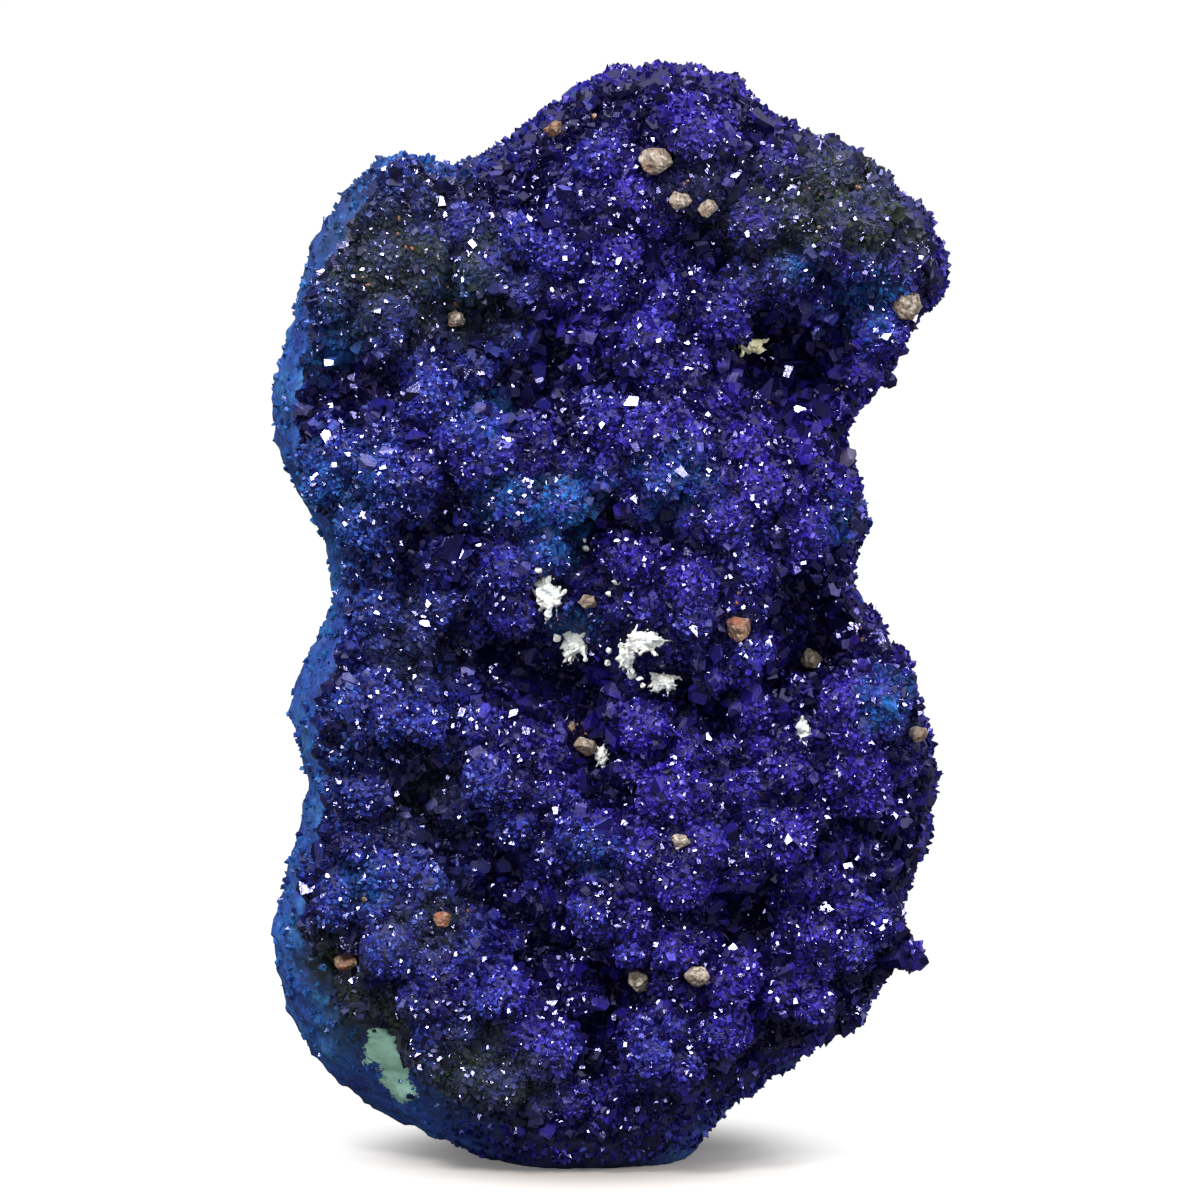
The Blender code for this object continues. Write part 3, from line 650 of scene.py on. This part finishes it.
def tone_ramp(tree, share, colours, places=None):
    """Colours from dark to bright over share, at those places or at equal steps."""
    places = places or np.linspace(0, 1, len(colours))
    ramp = add_node(tree, "ValToRGB", share)
    steps = ramp.node.color_ramp.elements
    steps[0].position, steps[1].position = places[0], places[-1]
    steps[0].color, steps[1].color = linear(colours[0]), linear(colours[-1])
    for place, colour in zip(places[1:-1], colours[1:-1]):
        steps.new(place).color = linear(colour)
    return ramp


def laid_over(tree, colour, layers):
    """The colour with each layer, given as (share, colour), over what came before it."""
    for share, over in layers:
        over = linear(over) if isinstance(over, str) else over
        colour = add_node(tree, "Mix", share, colour, over, data_type="RGBA")
    return colour


def druse_colour(tree, place):
    """(colour, growth channels): the druse's blue at each place. It runs from violet to plain blue in broad
    patches, and stains, sky-blue spots and painted shade in creases and hollows change it."""
    growth = add_node(tree, "Attribute", attribute_name="growth")
    channels = add_node(tree, "SeparateColor", growth).node.outputs
    broad = add_node(tree, "TexNoise", place, per_mm(9), 3.0)
    leftness = add_node(
        tree, "MapRange", add_node(tree, "SeparateXYZ", place), 0.004, -0.018, -0.12, 0.75
    )
    bluer = add_node(tree, "MapRange", broad, 0.42, 0.66, 0.0, 0.5)
    blue_share = add_node(tree, "Math", leftness, bluer, operation="ADD", use_clamp=True)
    violet = tone_ramp(tree, channels["Blue"], ("#0D0736", "#281788", "#402BC2", "#6758DA"))
    blue = tone_ramp(tree, channels["Blue"], ("#0C1034", "#1B2C7C", "#2C46B2", "#4E7ACC"))
    # The red channel lays painted shade, a dark violet, over creases and hollows.
    stained = laid_over(tree, violet, [
        (blue_share, blue), (channels["Red"], "#0D0832"), (channels["Green"], "#3E4A30"),
    ])
    dust_free = growth.node.outputs["Alpha"]
    return laid_over(tree, linear("#348CE4"), [(dust_free, stained)]), channels


def azurite_crystal(grain, gloss, grey=0.0):
    """Azurite crystal faces, grown and never polished: glassy, so each face is either a dark blue
    pane or, where it mirrors a lamp, a white glint. Their colour differs from crystal to crystal.
    grain is how much fine growth roughens them, gloss the range of their roughness, and grey how
    near the thick ones come to the smoky violet of light lost inside them."""
    made, tree, shader, place = new_material("Azurite crystal, natural glassy faces")
    colour, channels = druse_colour(tree, place)
    if grey:
        smoky = tone_ramp(tree, channels["Blue"], ("#0C0A18", "#1E1A34", "#393356", "#6E688C"))
        patches = add_node(tree, "TexNoise", place, per_mm(1.1), 1.0)
        share = add_node(tree, "MapRange", patches, 0.35, 0.6, 0.0, grey)
        colour = laid_over(tree, colour, [(share, smoky)])
    growth = add_node(tree, "TexNoise", place, per_mm(0.14), 2.0)
    shade = add_node(tree, "MapRange", growth, 0.42, 0.62, 0.0, grain)
    feed(
        shader,
        Base_Color=laid_over(tree, colour, [(shade, "#0A0628")]),
        Normal=add_node(tree, "Bump", 0.3 * grain, 0.03 / MM, Height=growth),
        Roughness=add_node(tree, "MapRange", channels["Blue"], 0.0, 1.0, *gloss),
        Specular_Tint=INNER_BLUE,
        IOR=AZURITE_IOR,
    )
    return made


def clear_azurite():
    """A crystal thin enough for light to pass, by a share of real transmission: its pale smoky mauve is
    painted light, the pale background shining through it, and it is cloudier in veils."""
    made, tree, shader, place = new_material("Azurite crystal, thin and clear")
    veils = add_node(tree, "TexNoise", place, per_mm(0.7), 2.0)
    # The pale mauve is painted light from behind, over the real transmission set below.
    colour = tone_ramp(tree, veils, ("#8C7EB0", "#A79ACB", "#C9C0DC"))
    feed(shader, Base_Color=colour, Transmission_Weight=0.35, Roughness=0.12, IOR=AZURITE_IOR)
    return made


def azurite_bed():
    """The fine azurite that the crystals stand on: the same mineral in grains too small to see one by one,
    so it is dull, with painted shade in its pits."""
    made, tree, shader, place = new_material("Azurite, fine-grained bed")
    colour, _ = druse_colour(tree, place)
    grains = add_node(tree, "TexVoronoi", place, per_mm(0.22))
    feed(
        shader,
        # Painted shade: darker towards the edges of the Voronoi cells, the pits of the bump.
        Base_Color=laid_over(tree, colour, [(grains, "#0A0726")]),
        Normal=add_node(tree, "Bump", 0.8, 0.1 / MM, Height=grains, invert=True),
        Roughness=0.6,
        Specular_Tint=INNER_BLUE,
        IOR=AZURITE_IOR,
    )
    return made


def rind_stone():
    """The nodule's weathered outside: earthy azurite, matt and mid blue, clouded with teal, with green
    malachite and olive clay rubbed into it in patches."""
    made, tree, shader, place = new_material("Earthy azurite, weathered rind")
    growth = add_node(tree, "Attribute", attribute_name="growth")
    channels = add_node(tree, "SeparateColor", growth).node.outputs
    clouds = add_node(tree, "TexNoise", place, per_mm(3.2), 6.0, 0.62)
    grains = add_node(tree, "TexNoise", place, per_mm(0.35), 3.0)
    bright = add_node(tree, "TexNoise", place, per_mm(0.22), 2.0)
    crumbly = add_node(tree, "Math", channels["Red"], bright, operation="SUBTRACT")
    blue = tone_ramp(tree, clouds, ("#1E34A0", "#2A62C4", "#3E92CE"), (0.3, 0.52, 0.7))
    colour = laid_over(tree, blue, [
        # Painted shade for the pits between grains, laid where the fine noise is high.
        (add_node(tree, "MapRange", grains, 0.45, 0.7, 0.0, 0.7), "#0D0F46"),  # pits between grains
        (add_node(tree, "MapRange", bright, 0.54, 0.7, 0.0, 0.45), "#4488DC"),  # pale blue dust
        (channels["Green"], "#243026"),  # olive clay
        (channels["Blue"], "#120C48"),  # the ground of the druse that spills over
        (add_node(tree, "MapRange", crumbly, -0.05, 0.10), "#C2FBE4"),  # malachite
    ])
    bump = add_node(tree, "Bump", 0.7, 0.12 / MM, Height=grains)
    feed(shader, Base_Color=colour, Normal=bump, Roughness=0.78, IOR=1.6)
    return made


def white_clay(name, dusty, clean):
    """Kaolin, dried and crumbly: chalky and quite matt, a little darker where dust has rubbed into
    it."""
    made, tree, shader, place = new_material(name)
    dust = add_node(tree, "TexNoise", place, per_mm(0.9), 5.0, 0.7)
    colour = tone_ramp(tree, dust, (dusty, clean), (0.34, 0.5))
    bump = add_node(tree, "Bump", 0.9, 0.12 / MM, Height=dust)
    feed(shader, Base_Color=colour, Normal=bump, Roughness=0.9)
    return made


def sand_grain(name, light, dark, rust):
    """A grain of sandstone: tan quartz grains in a browner cement, dull with a few brighter
    grains."""
    made, tree, shader, place = new_material(name)
    grains = add_node(tree, "TexVoronoi", place, per_mm(0.22))
    tone = add_node(tree, "SeparateColor", grains.node.outputs["Color"])
    patches = add_node(tree, "TexNoise", place, per_mm(0.9), 3.0)
    rusty = add_node(tree, "MapRange", patches, 0.45, 0.62, 0.0, 0.8)
    colour = laid_over(tree, linear(light), [(tone, dark), (rusty, rust)])
    bump = add_node(tree, "Bump", 0.9, 0.09 / MM, Height=grains, invert=True)
    feed(shader, Base_Color=colour, Normal=bump, Roughness=0.62)
    return made


def floor_card():
    """Matt card, dark grey to all but the camera, to which it glows white away from the stone; near the
    stone the lamps light it and the stone casts its shadow on it, and round the foot a painted contact
    shadow darkens it.
    """
    made, tree, shader, place = new_material("White card, matt")
    seen = add_node(tree, "LightPath", output="Is Camera Ray")
    away = add_node(tree, "VectorMath", place, operation="LENGTH", output="Value")
    far, beside = (
        add_node(tree, "MapRange", away, *reach, interpolation_type="SMOOTHSTEP")
        for reach in ((0.007, 0.017), (0.004, 0.014))
    )
    near_card = laid_over(tree, (0.60, 0.56, 0.53, 1.0), [(far, (0.03, 0.03, 0.03, 1.0))])
    # Painted contact shadow: warm grey card round the stone's foot, fading out to the lit card by 14 mm from
    # the middle.
    near_card = laid_over(tree, (0.36, 0.32, 0.295, 1.0), [(beside, near_card)])
    card = laid_over(tree, (0.08, 0.08, 0.08, 1.0), [(seen, near_card)])
    fade = add_node(tree, "MapRange", far, 0.0, 1.0, 0.30, 1.02)
    # The glow is dimmed to 0.35 under the same painted contact shadow.
    painted_shadow_dim = add_node(tree, "MapRange", beside, 0.0, 1.0, 0.35)
    glow = add_node(tree, "Math", seen, fade, operation="MULTIPLY")
    glow = add_node(tree, "Math", glow, painted_shadow_dim, operation="MULTIPLY")
    white = (1.0, 1.0, 1.0, 1.0)
    feed(shader, Base_Color=card, Roughness=0.95, Emission_Color=white, Emission_Strength=glow)
    return made


# Settings

class GeodeRindSettings(bpy.types.PropertyGroup):
    voxel: FloatProperty(
        name="Fineness", description="Size of the rind's facets, in millimetres", default=0.40, min=0.2
    )
    lumps: IntProperty(name="Lumps", description="How many low lumps it has", default=900)
    crystals: IntProperty(
        name="Crystals", description="How many crystals spill over onto it", default=16000
    )
    seed: IntProperty(name="Seed", description="Changes where the lumps and crystals lie", default=5)


class GeodeDruseSettings(bpy.types.PropertyGroup):
    voxel: FloatProperty(
        name="Bed fineness", description="Size of the bed's facets, in millimetres", default=0.28, min=0.2
    )
    rosette: FloatProperty(
        name="Rosette size", description="Typical radius of a rosette, in millimetres", default=1.0
    )
    sunk: FloatProperty(
        name="Sunk", description="How far the ground between rosettes is sunk, in millimetres",
        default=0.5,
    )
    fine_count: IntProperty(name="Fine crystals", description="How many fine crystals grow", default=60000)
    medium_count: IntProperty(
        name="Medium crystals", description="How many medium crystals grow", default=7000
    )
    sparkle_count: IntProperty(
        name="Sparkles", description="How many small crystals mirror a lamp", default=3400, min=0
    )
    large_count: IntProperty(name="Large crystals", description="How many large crystals grow", default=1000)
    seed: IntProperty(name="Seed", description="Changes where the crystals grow", default=11)


class GeodeStageSettings(bpy.types.PropertyGroup):
    elevation: FloatProperty(
        name="Camera elevation", description="How far the camera looks down", default=math.radians(6.0),
        subtype="ANGLE", unit="ROTATION",
    )
    distance: FloatProperty(
        name="Camera distance", description="From the camera to the stone's middle, in metres",
        default=0.46, subtype="DISTANCE", unit="LENGTH",
    )
    aim: FloatVectorProperty(
        name="Aim", description="The point in the middle of the picture, in metres",
        default=(0.0007, 0.0, 0.0312), subtype="TRANSLATION", unit="LENGTH",
    )
    width: FloatProperty(
        name="Picture width", description="Width that the picture covers at the stone, in metres",
        default=0.0668, subtype="DISTANCE", unit="LENGTH",
    )


def camera_place(settings):
    """Where the camera stands, in metres."""
    away = Vector((0, -math.cos(settings.elevation), math.sin(settings.elevation)))
    return np.array(Vector(settings.aim) + away * settings.distance)


def line_of_sight(camera, x, z):
    """From the camera, in millimetres, through a place in the picture. x is from its middle and z
    from the floor, both at the depth of the stone's outline."""
    return Vector(camera), (Vector((x + PICTURE_MIDDLE, 0, z)) - Vector(camera)).normalized()


class GeodeSettings(bpy.types.PropertyGroup):
    rind: PointerProperty(name="Rind", description="The nodule's wall", type=GeodeRindSettings)
    druse: PointerProperty(name="Druse", description="The crystals and their bed", type=GeodeDruseSettings)
    stage: PointerProperty(name="Stage", description="Camera and floor", type=GeodeStageSettings)


# Operators

class GEODE_OT_rind(bpy.types.Operator):
    """Build the rind with its low lumps, its stains and the crystals that spill over onto it"""

    bl_idname = "geode.rind"
    bl_label = "Rind"

    def execute(self, context):
        settings = context.scene.geode.rind
        rng = np.random.default_rng(settings.seed)
        crust = BVHTree.FromBMesh(copy_in_mm("crystal_crust"))
        mesh = self.lumpy(settings, rng, crust)
        points, normals = points_and_normals(mesh)
        overgrown = self.overgrown(points, crust)
        green = np.where(points[:, 1] < 2.0, spots_at(points, MALACHITE_STAINS), 0)
        patches = np.array([noise.noise(Vector(p) * 0.16 + Vector((7, 0, 0))) for p in points])
        green = np.clip(green + 1.3 * np.clip(patches - 0.3, 0, 1) * (points[:, 1] > 1), 0, 1)
        stained = np.where(points[:, 1] < 2.0, spots_at(points, OLIVE_STAINS), 0)
        back = np.array([noise.noise(Vector(p) * 0.13) for p in points])
        stained = np.clip(stained + 0.9 * np.clip(back, 0, 1) * (points[:, 1] > 0), 0, 1)
        set_growth(mesh, np.stack([green, stained, overgrown], 1))
        mesh.shade_smooth()
        surface = Surface(mesh)
        shares = self.overgrown(surface.middles, crust)
        shares *= 1 - 0.85 * spots_at(surface.middles, MALACHITE_STAINS)
        forward = np.clip((6.0 - surface.middles[:, 1]) / 6.0, 0.05, 1)
        off_ground = surface.middles[:, 2] > 0.5
        places, ups = surface.scatter(rng, settings.crystals, 0.17, shares * forward * off_ground)
        channels = growth_channels(places, np.full(len(places), 0.25), rng, tone=0.45)
        left = np.clip((-6.0 - places[:, 0]) / 4.0, 0, 1)
        channels[:, 3] *= 1 - 0.7 * left * rng.random(len(places))
        crystals = grown(rng, places, ups, (0.18, 0.42), tall=0.7, lean=0.4, channels=channels)
        finish_piece("rind_stone", mesh, rind_stone(), "rind", ["rind"])
        mesh = joined_crystals("edge", crystal_forms(), rng, *crystals)
        finish_piece("edge_crystals", mesh, azurite_crystal(grain=0.6, gloss=(0.1, 0.3)), "azurite", [])
        return {"FINISHED"}

    def lumpy(self, settings, rng, crust):
        """The rind's mesh with low lumps on it and its foot kept flat."""
        plain = copy_in_mm("rind")
        surface = Surface(mesh_of(plain.copy(), "plain"))
        apart = np.array([crust.find_nearest(Vector(p))[3] for p in surface.middles])
        outside = (surface.middles[:, 2] > 2.2) & (apart > 0.7)
        places, normals = surface.scatter(rng, settings.lumps, 0.9, outside)
        radii = rng.uniform(0.7, 2.0, len(places))
        low, high = (np.array(corner) * MM for corner in CAD_BOX)
        sunk = 0.88 - 0.26 * self.overgrown(places, crust)
        centres = places - normals * (sunk * radii)[:, None]
        centres = np.clip(centres, low + radii[:, None] - 0.3, high - radii[:, None] + 0.3)
        add_balls(plain, centres, radii)
        mesh = remeshed(mesh_of(plain, "rind"), settings.voxel)
        points, normals = points_and_normals(mesh)
        height = np.array([
            0.16 * noise.noise(Vector(p) * 0.8) + 0.14 * noise.noise(Vector(p) * 2.4)
            + 0.24 * (grape(p, 1.1) - 0.5) for p in points
        ])
        raised = points + normals * height[:, None]
        standing = points[:, 2] < 0.3
        raised[standing, 2] = np.minimum(points[standing, 2], raised[standing, 2])
        raised[:, 2] = np.maximum(raised[:, 2], 0.0)
        set_points(mesh, raised)
        return mesh

    def overgrown(self, points, crust):
        """Share from 0 to 1 of druse that spills over the rind: most at the crust's edge, and next
        to none on the stone's left, whose rind is bare."""
        near = np.zeros(len(points))
        for i, point in enumerate(points):
            away = crust.find_nearest(Vector(point), SPILL_REACH)[3]
            if away is not None:
                near[i] = min(1.0, 1.4 * (1 - away / SPILL_REACH))
        bare_left = np.clip((-4.0 - points[:, 0]) / 5.0, 0, 1) * np.clip((54.8 - points[:, 2]) / 2, 0, 1)
        return near * (1 - (1 - BARE_SIDE_SPILL) * bare_left)


class GEODE_OT_druse(bpy.types.Operator):
    """Build the bed with its rosettes and the crystals that grow from it"""

    bl_idname = "geode.druse"
    bl_label = "Druse"

    def execute(self, context):
        settings = context.scene.geode.druse
        rng = np.random.default_rng(settings.seed)
        druse = Druse(settings, rng)
        small = azurite_crystal(grain=0.5, gloss=(0.06, 0.18))
        smoky = azurite_crystal(grain=0.5, gloss=(0.05, 0.18), grey=0.75)
        fine = self.grow(
            druse, rng, settings.fine_count, spacing=0.15, widths=(0.14, 0.34), tall=0.6, lean=0.38,
            tone=0.55,
        )
        for k, part in enumerate(np.array_split(np.argsort(fine[0][:, 2]), FINE_PIECES)):
            mesh = joined_crystals("fine", crystal_forms(), rng, *(a[part] for a in fine))
            finish_piece(f"fine_crystals_{k + 1}", mesh, small, "azurite", [])
        medium = self.grow(
            druse, rng, settings.medium_count, spacing=0.4, widths=(0.32, 0.58), tall=0.65, lean=0.45,
            tone=0.45, on_lobes=0.2,
        )
        mesh = joined_crystals("medium", crystal_forms(), rng, *medium)
        finish_piece("medium_crystals", mesh, smoky, "azurite", [])
        large = self.grow(
            druse, rng, settings.large_count, spacing=0.7, widths=(0.55, 1.1), tall=0.75, lean=0.5,
            tone=0.5, on_lobes=0.03, more=1 + 6 * spots_at(druse.bed.middles, COARSE_SPOTS),
        )
        # Painted hollow shade on the large crystals is halved here, as they stand up out of the hollows;
        # their widths were set before.
        large[-1][:, 0] *= 0.5  # they stand up out of the hollows, into the light
        mesh = joined_crystals("large", large_crystal_forms(), rng, *large)
        finish_piece("large_crystals", mesh, smoky, "azurite", [])
        mesh = joined_crystals("panes", pane_forms(), rng, *self.panes(druse, rng, context))
        finish_piece("pane_crystals", mesh, azurite_crystal(grain=1.4, gloss=(0.05, 0.2)), "azurite", [])
        self.tip(druse, rng)
        points, _ = points_and_normals(druse.mesh)
        channels = growth_channels(points, druse.sunken_at(points), rng, tone=0.3)
        set_growth(druse.mesh, channels)
        druse.mesh.shade_flat()
        finish_piece("crystal_bed", druse.mesh, azurite_bed(), "azurite", ["crystal_crust"])
        return {"FINISHED"}

    def grow(self, druse, rng, count, spacing, widths, tall, lean, tone, on_lobes=1.0, more=1.0):
        """Crystals on the druse's bed, clear of the clay and the grains. On a lobe there are
        on_lobes times as many as in a hollow, and more is a weight for each triangle."""
        weights = more * np.clip(druse.relief_at(druse.bed.middles) * 1.6, on_lobes, 1)
        places, normals = druse.bed.scatter(rng, count, spacing, weights)
        margins = rng.uniform(-0.45, 0.1, len(places)) + 0.5 * widths[1]
        clear = clear_of_small_pieces(places, margins)
        places, normals = places[clear], normals[clear]
        channels = growth_channels(places, druse.sunken_at(places), rng, tone)
        return grown(rng, places, normals, widths, tall, lean, channels)

    def tip(self, druse, rng):
        """The one clear crystal that stands out of the stone's right edge."""
        height, width = EDGE_TIP
        place = druse.bed.tree.find_nearest(Vector((15.2, -5, height)))[0]
        tip = [np.array([v]) for v in (place, (0.72, -0.35, 0.6), width, 1.1 * width, (0, 0, 0.9, 1))]
        mesh = joined_crystals("tip", large_crystal_forms()[:1], rng, *tip)
        finish_piece("edge_tip_crystal", mesh, clear_azurite(), "azurite", [])

    def panes(self, druse, rng, context):
        """Crystals with a broad end face, each turned so that it mirrors a lamp to the camera: large
        ones at PANES and small ones all over."""
        geode = context.scene.geode
        camera = camera_place(geode.stage) * MM
        hits = [druse.bed.tree.ray_cast(*line_of_sight(camera, x, z))[:2] for x, z, _ in PANES]
        large = [(*place, *up, width) for (place, up), (_, _, width) in zip(hits, PANES) if place]
        places, ups = druse.bed.scatter(rng, geode.druse.sparkle_count, 0.3)
        seen = clear_of_small_pieces(places, np.full(len(places), 0.1))
        widths = 0.14 + 0.34 * rng.random(seen.sum()) ** 2.5
        small = np.column_stack([places[seen], ups[seen], widths])
        both = np.concatenate([large, small])
        places, ups, widths = both[:, :3], both[:, 3:6], both[:, 6]
        lamps = np.array([lamp[1] for lamp in LAMPS if lamp[2] < SOFT_BOX]) * MM
        lamp = lamps[rng.integers(0, len(lamps), len(places))]
        lamp[: len(large)] = lamps[0]
        axes = lengths_of_one(lengths_of_one(lamp - places) + lengths_of_one(camera - places))
        axes = lengths_of_one(axes + rng.normal(0, PANE_WOBBLE, axes.shape))
        out = (axes * ups).sum(1) > 0.35
        out[: len(large)] = True
        places = places + 0.14 * axes
        channels = growth_channels(places, np.full(len(places), 0.2), rng, tone=0.5)
        return places[out], axes[out], widths[out], 0.6 * widths[out], channels[out]


class GEODE_OT_clay(bpy.types.Operator):
    """Build the bits of white clay, crumbly and ragged"""

    bl_idname = "geode.clay"
    bl_label = "Clay"

    def execute(self, context):
        white = white_clay("White clay, crumbly", "#B4C2CC", "#FAFBF4")
        creamy = white_clay("Cream clay, crumbly", "#C9BE96", "#FBF6CF")
        rng = np.random.default_rng(CLAY_SEED)
        for name in sorted(n for n in frame["nodes"] if n.startswith("clay")):
            bm = copy_in_mm(name)
            points = np.array([v.co for v in bm.verts])
            middle, half = (points.min(0) + points.max(0)) / 2, np.ptp(points, axis=0) / 2
            to_middle = Matrix.Translation(middle)
            bm.transform(to_middle @ Matrix.Scale(CLAY_SHRINK, 4) @ to_middle.inverted())
            add_balls(bm, *self.arms(rng, middle, half), subdivisions=1)
            bmesh.ops.translate(bm, vec=NUDGES.get(name, (0, 0, 0)), verts=bm.verts)
            mesh = remeshed(mesh_of(bm, name), CLAY_VOXEL)
            points, normals = points_and_normals(mesh)
            rough = np.array([
                0.16 * noise.noise(Vector(p) * 2.6) + 0.09 * noise.noise(Vector(p) * 7) for p in points
            ])
            set_points(mesh, points + normals * rough[:, None])
            finish_piece(name + "_crumb", mesh, creamy if name == "clay_cave" else white, "clay", [name])
        return {"FINISHED"}

    def arms(self, rng, middle, half):
        """Centres and radii of balls in crooked arms that thin out from a bit's middle to beyond
        its edge."""
        centres, radii = [], []
        for _ in range(30):
            way, place = rng.normal(0, 1, 3) * (1, 0.6, 1), middle
            reach, stout = rng.uniform(0.8, 1.55), rng.uniform(0.6, 1.25)
            for t in np.linspace(0, 1, 14):
                way = way + rng.normal(0, 0.42, 3)
                place = place + way / np.linalg.norm(way) * half * reach / 14
                centres.append(place)
                radii.append(stout * (0.075 + 0.30 * (1 - t) ** 1.5) * min(1.0, half.mean()))
        return np.array(centres), np.array(radii)


class GEODE_OT_grains(bpy.types.Operator):
    """Build the grains of sand, and the specks of sand and clay"""

    bl_idname = "geode.grains"
    bl_label = "Grains of sand"

    def execute(self, context):
        looks = {
            "sand": sand_grain("Sandstone grain, tan", "#C4B8AA", "#6A5C4F", "#8F735F"),
            "ochre": sand_grain("Sandstone grain, rusty", "#B4957C", "#5E463A", "#94503A"),
            "clay": white_clay("White clay, flecks", "#B4C2CC", "#FAFBF4"),
        }
        rng = np.random.default_rng(GRAIN_SEED)
        noise.seed_set(GRAIN_SEED)
        slots = {s["node"]: s["material_slot"] for s in frame["record"]["subparts"]}
        for name in sorted(n for n in frame["nodes"] if n.startswith("grain")):
            bm = copy_in_mm(name)
            bmesh.ops.subdivide_edges(bm, edges=bm.edges, cuts=5, use_grid_fill=True, smooth=1.0)
            bmesh.ops.triangulate(bm, faces=bm.faces)
            self.chip(bm, rng)
            bmesh.ops.translate(bm, vec=NUDGES.get(name, (0, 0, 0)), verts=bm.verts)
            slot = slots[name]
            finish_piece(name + "_stone", mesh_of(bm, name), looks[slot], slot, [name])
        for slot, (least, most, places) in SPECKS.items():
            self.specks(rng, context, slot, looks[slot], np.array(places), (least, most))
        return {"FINISHED"}

    def chip(self, bm, rng, flats=11):
        """Cuts flats all round a grain and makes it rough, as broken sand is."""
        points = np.array([v.co for v in bm.verts])
        middle, half = (points.min(0) + points.max(0)) / 2, np.ptp(points, axis=0) / 2
        points = (points - middle) / half
        for way in rng.normal(0, 1, (flats, 3)):
            way /= np.linalg.norm(way)
            over = np.maximum(points @ way - rng.uniform(0.58, 0.88), 0)
            points -= 0.92 * over[:, None] * way
        for v, point in zip(bm.verts, points * half + middle):
            v.co = Vector(point) + 0.10 * noise.noise_vector(Vector(point) * 2.5)
            v.co += 0.035 * noise.noise_vector(Vector(point) * 9)

    def specks(self, rng, context, slot, material, places, radii):
        """Specks, two or so round each place, chipped like the grains."""
        crust = BVHTree.FromBMesh(copy_in_mm("crystal_crust"))
        camera = camera_place(context.scene.geode.stage) * MM
        near = np.concatenate([places, places + rng.normal(0, 0.5, places.shape)])
        joined = bmesh.new()
        for x, z in near:
            hit = crust.ray_cast(*line_of_sight(camera, x, z))[0]
            if hit is None:
                continue
            bm = bmesh.new()
            bmesh.ops.create_icosphere(bm, subdivisions=3, radius=rng.uniform(*radii))
            bmesh.ops.scale(bm, vec=Vector(rng.uniform(0.6, 1.1, 3)), verts=bm.verts)
            bmesh.ops.translate(bm, vec=hit - Vector((0, 0.1, 0)), verts=bm.verts)
            self.chip(bm, rng, flats=7)
            joined.from_mesh(mesh_of(bm, "speck"))
        finish_piece(slot + "_specks", mesh_of(joined, "specks"), material, slot, [])


class GEODE_OT_stage(bpy.types.Operator):
    """Set the floor, the lights and the camera"""

    bl_idname = "geode.stage"
    bl_label = "Stage"

    def execute(self, context):
        settings = context.scene.geode.stage
        bm = bmesh.new()
        bmesh.ops.create_circle(bm, cap_ends=True, segments=64, radius=6.0)
        floor = bpy.data.objects.new("floor", mesh_of(bm, "floor"))
        floor.data.materials.append(floor_card())
        context.scene.collection.objects.link(floor)
        for name, place, size, watts in LAMPS:
            self.light(name, place, size, watts)
        self.world(context.scene)
        self.camera(context.scene, settings)
        context.scene.view_settings.view_transform = "Standard"
        return {"FINISHED"}

    def light(self, name, place, size, watts):
        """A square soft box that faces the stone."""
        data = bpy.data.lights.new(name, "AREA")
        data.size = size
        data.energy = watts
        lamp = bpy.data.objects.new(name, data)
        lamp.location = place
        lamp.rotation_euler = (Vector((0, 0, 0.03)) - Vector(place)).to_track_quat("-Z", "Y").to_euler()
        bpy.context.scene.collection.objects.link(lamp)

    def world(self, scene):
        """White behind the stone, and a dim grey room for it to reflect."""
        world = bpy.data.worlds.new("room")
        world.use_nodes = True
        tree = world.node_tree
        seen = add_node(tree, "LightPath", output="Is Camera Ray")
        strength = add_node(tree, "MapRange", seen, 0.0, 1.0, 0.10, 1.0)
        feed(tree.nodes["Background"], Color=(1.0, 1.0, 1.0, 1.0), Strength=strength)
        scene.world = world

    def camera(self, scene, settings):
        """Level with the stone and a little above it, with a long lens, as in the photograph."""
        data = bpy.data.cameras.new("camera")
        data.sensor_width = 36.0
        data.lens = 36.0 * settings.distance / settings.width
        data.clip_start, data.clip_end = 0.02, 20.0
        camera = bpy.data.objects.new("camera", data)
        camera.location = camera_place(settings)
        ahead = Vector(settings.aim) - camera.location
        camera.rotation_euler = ahead.to_track_quat("-Z", "Y").to_euler()
        scene.collection.objects.link(camera)
        scene.camera = camera


class GEODE_PT_panel(bpy.types.Panel):
    """The geode's settings and the steps that build it"""

    bl_idname = "GEODE_PT_panel"
    bl_label = "Azurite Geode"
    bl_space_type = "VIEW_3D"
    bl_region_type = "UI"
    bl_category = "Geode"

    def draw(self, context):
        for group in ("rind", "druse", "stage"):
            box = self.layout.box()
            settings = getattr(context.scene.geode, group)
            for key in settings.bl_rna.properties.keys():
                if key not in ("rna_type", "name"):
                    box.prop(settings, key)
        for step in STEPS:
            self.layout.operator(step.bl_idname)


STEPS = (GEODE_OT_rind, GEODE_OT_druse, GEODE_OT_clay, GEODE_OT_grains, GEODE_OT_stage)
CLASSES = (GeodeRindSettings, GeodeDruseSettings, GeodeStageSettings, GeodeSettings, *STEPS, GEODE_PT_panel)


def register():
    for each in CLASSES:
        bpy.utils.register_class(each)
    bpy.types.Scene.geode = PointerProperty(type=GeodeSettings)


def unregister():
    del bpy.types.Scene.geode
    for each in reversed(CLASSES):
        bpy.utils.unregister_class(each)


def main():
    register()
    bpy.ops.geode.rind()
    bpy.ops.geode.druse()
    bpy.ops.geode.clay()
    bpy.ops.geode.grains()
    bpy.ops.geode.stage()


if __name__ == "__main__":
    main()
